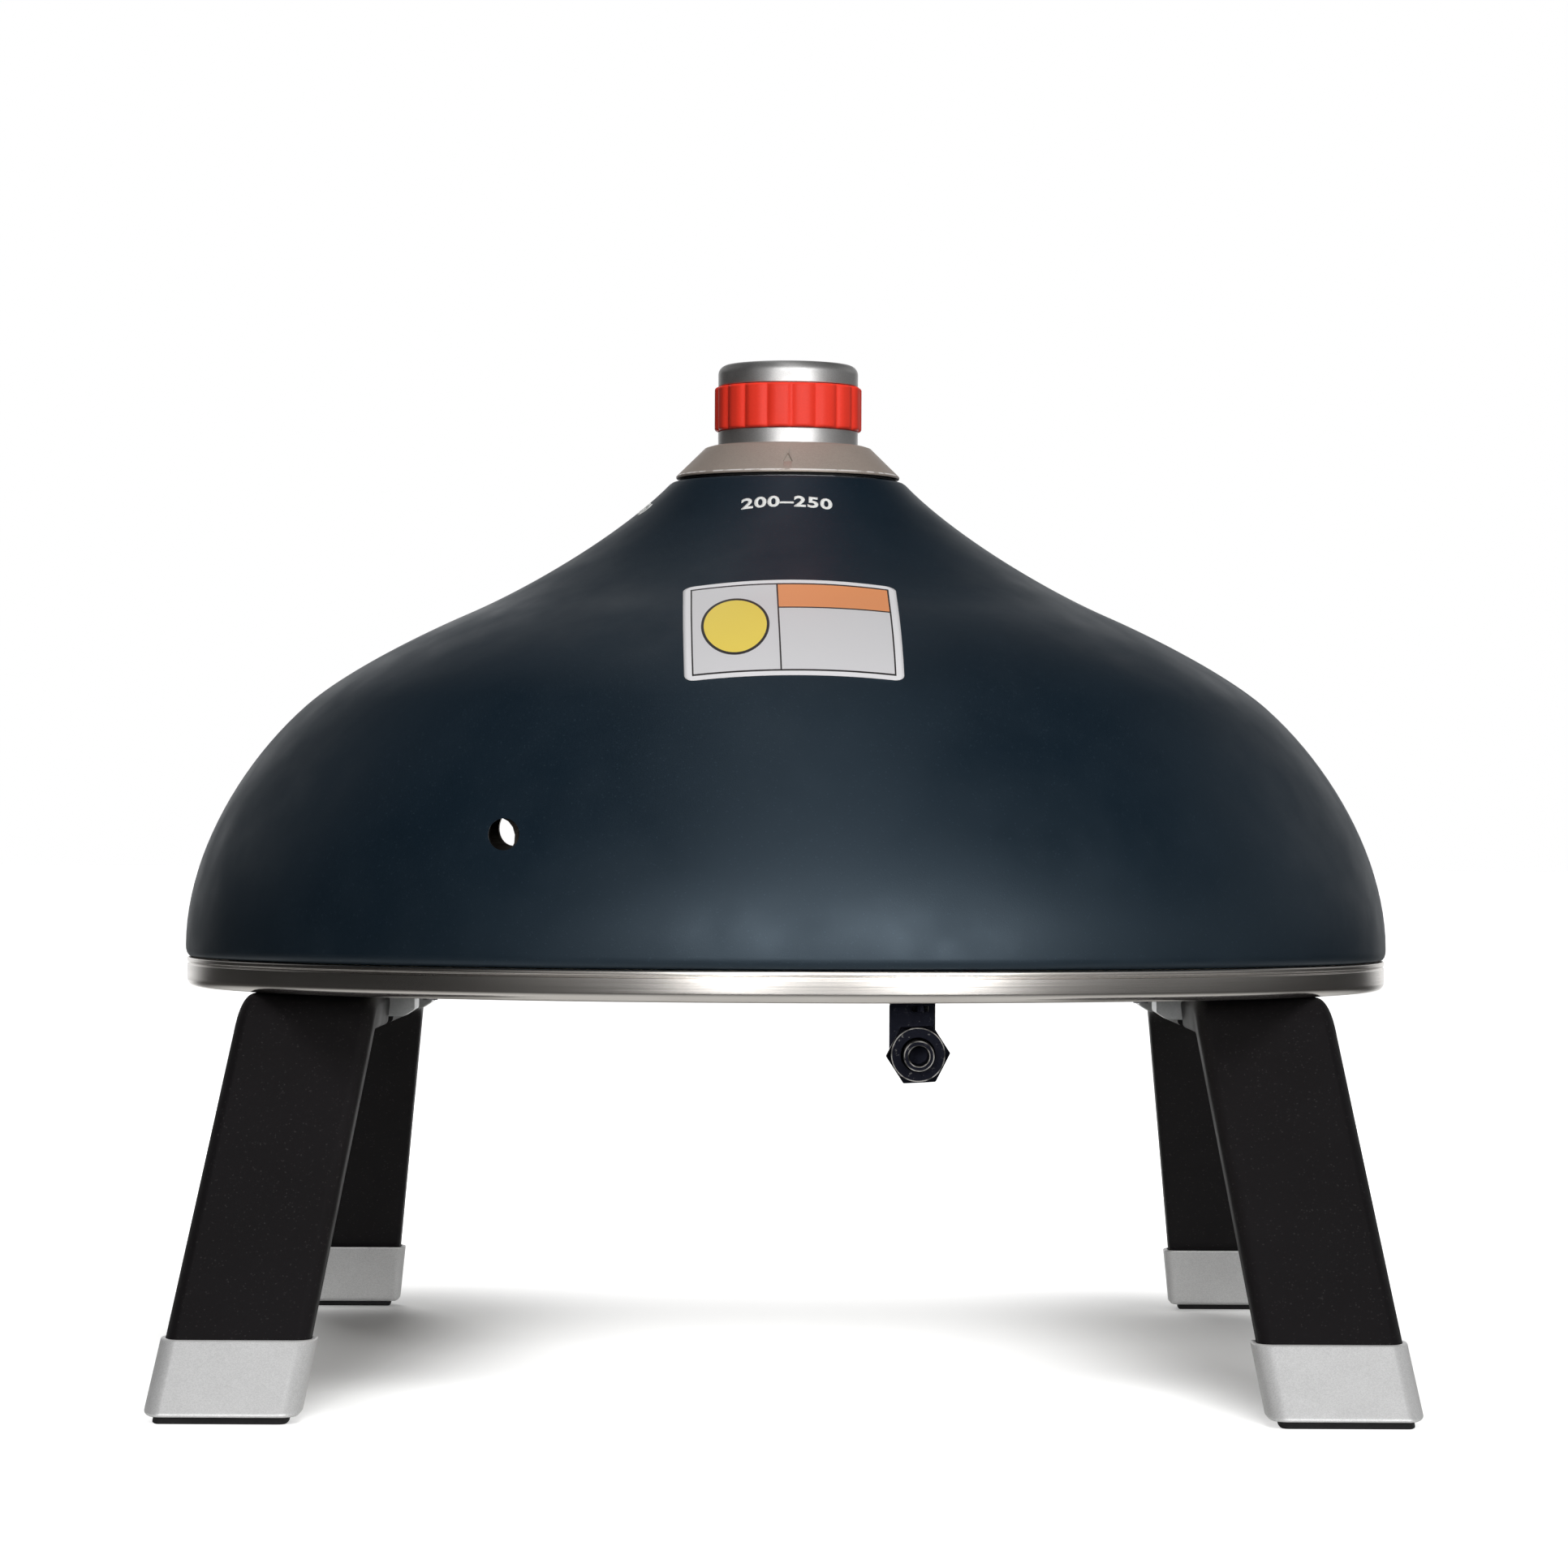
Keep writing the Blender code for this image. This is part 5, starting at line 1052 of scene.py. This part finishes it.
def on_cone(flat, middle, turn, lift):
    """Lay flat points (across, up) on the dome as a sheet lies on a cone.

    The cone touches the dome at the middle's ring. Unrolled, a point lies rho from the cone's tip at an
    angle psi, so its azimuth is psi / cos(slope), and it is as far down the dome's profile as rho says.
    """
    line = dome_line(60)
    steps = np.linalg.norm(np.diff(line, axis=0), axis=1)
    travel = np.concatenate(((0.0,), np.cumsum(steps)))
    radius, azimuth = middle
    start = np.interp(radius, line[:, 0], travel)
    near = np.array([np.interp(start + step, travel, line[:, 0]) for step in (-0.02, 0.02)])
    slope = math.acos(min(1.0, (near[1] - near[0]) / 0.04))
    tip = radius / math.cos(slope)
    across = flat[..., 0] * math.cos(turn) - flat[..., 1] * math.sin(turn)
    up = flat[..., 0] * math.sin(turn) + flat[..., 1] * math.cos(turn)
    rho = np.hypot(across, tip - up)
    psi = np.arctan2(across, tip - up) / math.cos(slope) + azimuth
    place = start + rho - tip
    face = inset(line, -lift)
    r = np.interp(place, travel, face[:, 0])
    z = np.interp(place, travel, face[:, 1])
    return np.stack((r * np.sin(psi), -r * np.cos(psi), z), axis=-1)


def make_sticker():
    """The blank sticker: a rounded sheet 0.2 mm thick laid on the dome a little askew."""
    wide, high = STICKER_HALF
    corner = STICKER_CORNER
    edge = corner * (1 - np.cos(np.linspace(0, math.pi / 2, 9)))
    straight = np.linspace(-high + corner, high - corner, 40)[1:-1]
    level = np.concatenate((-high + edge, straight, high - edge[::-1]))
    over = np.maximum(np.abs(level) - (high - corner), 0)
    half = wide - corner + np.sqrt(np.maximum(corner ** 2 - over ** 2, 0))
    share = np.linspace(-1, 1, 61)
    flat = np.stack((half[:, None] * share, np.repeat(level[:, None], len(share), axis=1)), axis=-1)
    face = on_cone(flat, STICKER_MIDDLE, STICKER_TURN, 0.0003)
    mesh = grid_mesh("sticker", face, np.arange(face[..., 0].size).reshape(face.shape[:2]))
    places = flat.reshape(-1, 2) / (2 * wide, 2 * high) + 0.5
    layer = mesh.uv_layers.new(name="flat")
    loops = np.empty(len(mesh.loops), int)
    mesh.loops.foreach_get("vertex_index", loops)
    layer.data.foreach_set("uv", places[loops].ravel())
    mesh.shade_smooth()
    sticker = placed("sticker", mesh)
    thicken(sticker, 0.0002)
    dress(sticker, "oven", sticker_vinyl(wide, high), "silver_plastic")


def make_number(name, words, azimuth, ink):
    """A plain number printed on the dome, as a thin raised film."""
    curve = bpy.data.curves.new(name, "FONT")
    curve.body = words
    curve.size = NUMBER_SIZE
    curve.align_x = "CENTER"
    curve.align_y = "CENTER"
    curve.offset = NUMBER_SIZE * 0.032
    curve.space_character = 1.08
    curve.resolution_u = 6
    text = placed(name, curve)
    mesh = bpy.data.meshes.new_from_object(text.evaluated_get(bpy.context.evaluated_depsgraph_get()))
    bpy.data.objects.remove(text)
    form = bmesh.new()
    form.from_mesh(mesh)
    bmesh.ops.remove_doubles(form, verts=form.verts, dist=1e-6)
    bmesh.ops.triangulate(form, faces=form.faces)
    for _ in range(3):
        long = [edge for edge in form.edges if edge.calc_length() > NUMBER_EDGE]
        if long:
            bmesh.ops.subdivide_edges(form, edges=long, cuts=1)
            bmesh.ops.triangulate(form, faces=form.faces)
    form.to_mesh(mesh)
    form.free()
    points = np.empty(len(mesh.vertices) * 3)
    mesh.vertices.foreach_get("co", points)
    flat = points.reshape(-1, 3)[:, :2]
    mesh.vertices.foreach_set("co", on_cone(flat, (NUMBER_RING, azimuth), 0.0, 0.00012).ravel())
    mesh.update()
    mesh.name = name
    number = placed(name, mesh)
    thicken(number, 0.00008)
    dress(number, "oven", ink, "ceramic")


def make_stage():
    """A white sweep under and behind the oven on a dark studio floor, which the camera sees as white.

    With r the distance from the middle in metres, the sweep's own white fades out from r = 0.45 to 0.8, but
    not behind the oven. The white that is added for the camera is taken out in bands beside the legs and
    under the middle, as a painted shadow.
    """
    s = 60.0
    mesh = bpy.data.meshes.new("studio_floor")
    mesh.from_pydata([(-s, -s, 0), (s, -s, 0), (s, s, 0), (-s, s, 0)], [], [(0, 1, 2, 3)])
    floor = placed("studio_floor", mesh)
    pale = Finish("studio_floor", (0.86, 0.86, 0.85), 0.9)
    place = pale.split(pale.coordinates)
    away = pale.length(place["X"], place["Y"])
    behind = pale.remap(pale.math("DIVIDE", place["Y"], away), 0.80, 0.96)
    behind = pale.times(behind, pale.remap(away, 0.4, 0.9))
    sweep = pale.math("MAXIMUM", pale.remap(away, 0.45, 0.8, 1.0, 0.0), behind)
    pale.set("Base Color", pale.mix(sweep, FLOOR_DARK, FLOOR_PALE))

    # Painted shadow: the white added for the camera is taken out in bands beside the legs and in a patch
    # under the middle
    width = pale.remap(place["Y"], -0.2, 0.1, 0.055, 0.10)
    beside = pale.bell(pale.math("ABSOLUTE", place["X"]), 0.215, width)
    beside = pale.times(beside, pale.bell(place["Y"], 0.04, 0.36, 4.0))
    beside = pale.times(beside, pale.remap(place["X"], -0.1, 0.1, *PAINTED_SHADOW_BESIDE))
    middle = pale.times(pale.bell(place["X"], 0.0, 0.20), pale.bell(place["Y"], 0.25, 0.17))
    painted_shadow = pale.plus(beside, pale.times(middle, PAINTED_SHADOW_MIDDLE))
    ray = pale.add("LightPath").outputs
    mirrored = pale.times(ray["Is Glossy Ray"], behind)
    seen = pale.math("MAXIMUM", ray["Is Camera Ray"], ray["Is Transmission Ray"])
    seen = pale.math("MAXIMUM", seen, mirrored)
    pale.set("Emission Color", (1.0, 1.0, 1.0, 1.0))
    pale.set("Emission Strength", pale.times(seen, pale.minus(1.0, painted_shadow)))
    mesh.materials.append(pale.material)


def make_world():
    """The studio as light from each direction, and white wherever the camera looks.

    The backdrop behind the oven is white. A pale strip runs from the camera's side over the oven, low cards
    stand to the left and right of the camera, and a broad one above them; all of these fade out as
    exp(-((value - centre) / width) squared). The rest of the room is dim.
    """
    world = bpy.data.worlds.new("studio")
    bpy.context.scene.world = world
    world.use_nodes = True
    sky = Nodes(world.node_tree)
    x, y, z = sky.split(sky.add("TexCoord").outputs["Generated"])
    azimuth = sky.math("ARCTAN2", x, sky.times(y, -1.0))
    sideways = sky.plus(sky.times(x, math.cos(STRIP_TURN)), sky.times(y, math.sin(STRIP_TURN)))
    width = sky.plus(sky.times(sky.math("MAXIMUM", sky.times(y, -1.0), 0.0), 0.13), 0.12)
    strip = sky.times(sky.times(sky.bell(sideways, 0.0, width), STRIP_LEVEL), sky.ease(z, 0.0, 0.35))
    light = sky.times(strip, sky.ease(y, -0.3, 0.5, 1.0, 0.45))
    for degrees, width, bottom, top, height in CARDS:
        card = sky.times(sky.bell(azimuth, math.radians(degrees), math.radians(width)), height)
        upright = sky.times(sky.ease(z, bottom - 0.04, bottom + 0.04), sky.ease(z, top, top + 0.3, 1.0, 0.0))
        light = sky.plus(light, sky.times(card, upright))
    backdrop = sky.ease(y, 0.78, 0.97)
    light = sky.math("MAXIMUM", sky.math("MAXIMUM", light, backdrop), ROOM_LEVEL)
    ray = sky.add("LightPath").outputs
    seen = sky.math("MAXIMUM", ray["Is Camera Ray"], ray["Is Transmission Ray"])
    mirrored = sky.times(ray["Is Glossy Ray"], backdrop)
    level = sky.plus(sky.times(light, sky.minus(1.0, seen)), seen)
    back = sky.tree.nodes["Background"].inputs
    sky.put(back["Color"], (1.0, 1.0, 1.0, 1.0))
    sky.put(back["Strength"], sky.math("MAXIMUM", level, mirrored))


def make_lamp(name, place, aim, size, power):
    """A square softbox that faces a point."""
    lamp = bpy.data.lights.new(name, "AREA")
    lamp.shape = "RECTANGLE"
    lamp.size, lamp.size_y = size
    lamp.energy = power
    box = placed(name, lamp)
    box.location = place
    box.rotation_euler = (Vector(aim) - Vector(place)).to_track_quat("-Z", "Y").to_euler()
    box.visible_camera = False
    box.visible_glossy = False


def make_camera():
    """The photograph's camera: level, 0.24 m above the floor, 2.48 m behind the dome's axis."""
    camera = bpy.data.cameras.new("camera")
    camera.sensor_width = SENSOR
    camera.lens = FOCAL_PIXELS / PHOTO_PIXELS * SENSOR
    camera.shift_x, camera.shift_y = CAMERA_SHIFT
    camera.clip_end = 200.0
    eye = placed("camera", camera)
    eye.location = CAMERA_PLACE
    eye.rotation_euler = (math.pi / 2, CAMERA_ROLL, 0.0)
    bpy.context.scene.camera = eye


def make_pieces():
    """Make every piece that stands for a CAD node or lies on one."""
    coat = speckled_coat("powder_coat", srgb(11, 24, 34), srgb(15, 29, 40), srgb(44, 58, 68), 0.45, 0.0004,
                         Specular_IOR_Level=0.9, Specular_Tint=(0.68, 0.85, 1.0, 1.0))
    soft = speckled_coat("soft_touch", srgb(16, 14, 15), srgb(22, 20, 22), srgb(62, 60, 60), 0.6, 0.0004,
                         Specular_IOR_Level=0.22)
    silver = flake_paint("silver_paint", srgb(208, 207, 206), srgb(226, 225, 224), 0.42, 0.0003, 0.92)
    cap_silver = flake_paint("silver_plastic", srgb(214, 214, 214), srgb(236, 236, 236), 0.44, 0.0004, 0.45)
    rim = srgb(238, 232, 226), srgb(250, 246, 241)
    rim = brushed_metal("brushed_steel", *rim, 0.22, 0.0003, (400, 400, 1))
    taupe = srgb(164, 152, 143), srgb(176, 164, 154)
    # The last pair paints a highlight line on the collar's rounded lower lip
    taupe = flake_paint("taupe_paint", *taupe, 0.46, 0.0004, 0.35, (0.4142, 0.0004))
    red = moulded("red_plastic", srgb(236, 56, 38), srgb(244, 62, 44), 0.48, 0.0008, 0.000015,
                   Specular_IOR_Level=0.35)
    rubber = moulded("rubber", srgb(18, 18, 19), srgb(34, 33, 34), 0.75)
    black = black_wear_and_highlights()
    bracket = plain_metal("bracket_steel", srgb(150, 152, 152), srgb(196, 198, 198), 0.38)
    liner = heat_stained_steel()
    ink = moulded("print_ink", srgb(214, 216, 214), srgb(234, 235, 232), 0.5)

    make_shell(coat)
    make_liner(liner)
    make_mouth_trim(black)
    make_pan(rim)
    make_collar(taupe)
    make_gasket(rubber)
    make_dial(silver, red)
    for side, name in ((-1, "left"), (1, "right")):
        make_leg_frame(side, name, soft)
        for end, place in ((1, "front"), (-1, "rear")):
            make_foot(side, name, end, place, cap_silver, rubber)
            make_hinge(side, name, end, place, bracket)
    for make in (make_inlet_plate, make_nut, make_elbow):
        make(black)
    drawn = plain_metal("spring_steel", srgb(128, 128, 132), srgb(182, 182, 186), 0.3)
    make_spring(drawn)
    make_stone(fired_stone())
    make_sticker()
    make_number("number_low", "200\u2013250", math.radians(-0.4), ink)
    make_number("number_high", "400\u2013450", math.radians(-87.0), ink)

    cast = srgb(140, 140, 142), srgb(186, 186, 188)
    by_slot = {
        "liner_steel": liner,
        "brushed_steel": rim,
        "bracket_steel": bracket,
        "rubber": rubber,
        "black_metal": black,
        "wool": fibre("wool", srgb(30, 28, 26), srgb(66, 62, 56), 0.002, 0.0006),
        "board": fibre("board", srgb(180, 172, 156), srgb(206, 200, 186), 0.0012, 0.0001),
        "cast_aluminium": plain_metal("cast_aluminium", *cast, 0.5, 0.0012, 0.00004),
        "brass": plain_metal("brass", srgb(170, 132, 66), srgb(208, 172, 98), 0.34),
        "spring_steel": drawn,
        "copper_pipe": plain_metal("copper_pipe", srgb(168, 104, 76), srgb(206, 140, 106), 0.33),
        "ceramic": moulded("ceramic", srgb(222, 219, 208), srgb(240, 238, 230), 0.35),
        "soft_black": moulded("plain_black", srgb(18, 18, 18), srgb(32, 31, 31), 0.5),
    }
    for part in frame["record"]["subparts"]:
        node = frame["nodes"][part["node"]]
        if not node.hide_render:
            screw = part["node"] == "inlet_screw"
            node.data.materials.clear()
            node.data.materials.append(black if screw else by_slot[part["material_slot"]])


bpy.context.scene.view_settings.view_transform = "Standard"
make_camera()
make_stage()
make_world()
make_lamp("key_box", (0.20, -1.50, 2.10), (0.0, 0.0, 0.25), (1.0, 1.0), 30.0)
make_lamp("fill_box", (-0.70, 2.20, 1.20), (0.0, 0.0, 0.22), (1.2, 1.2), 24.0)
make_pieces()
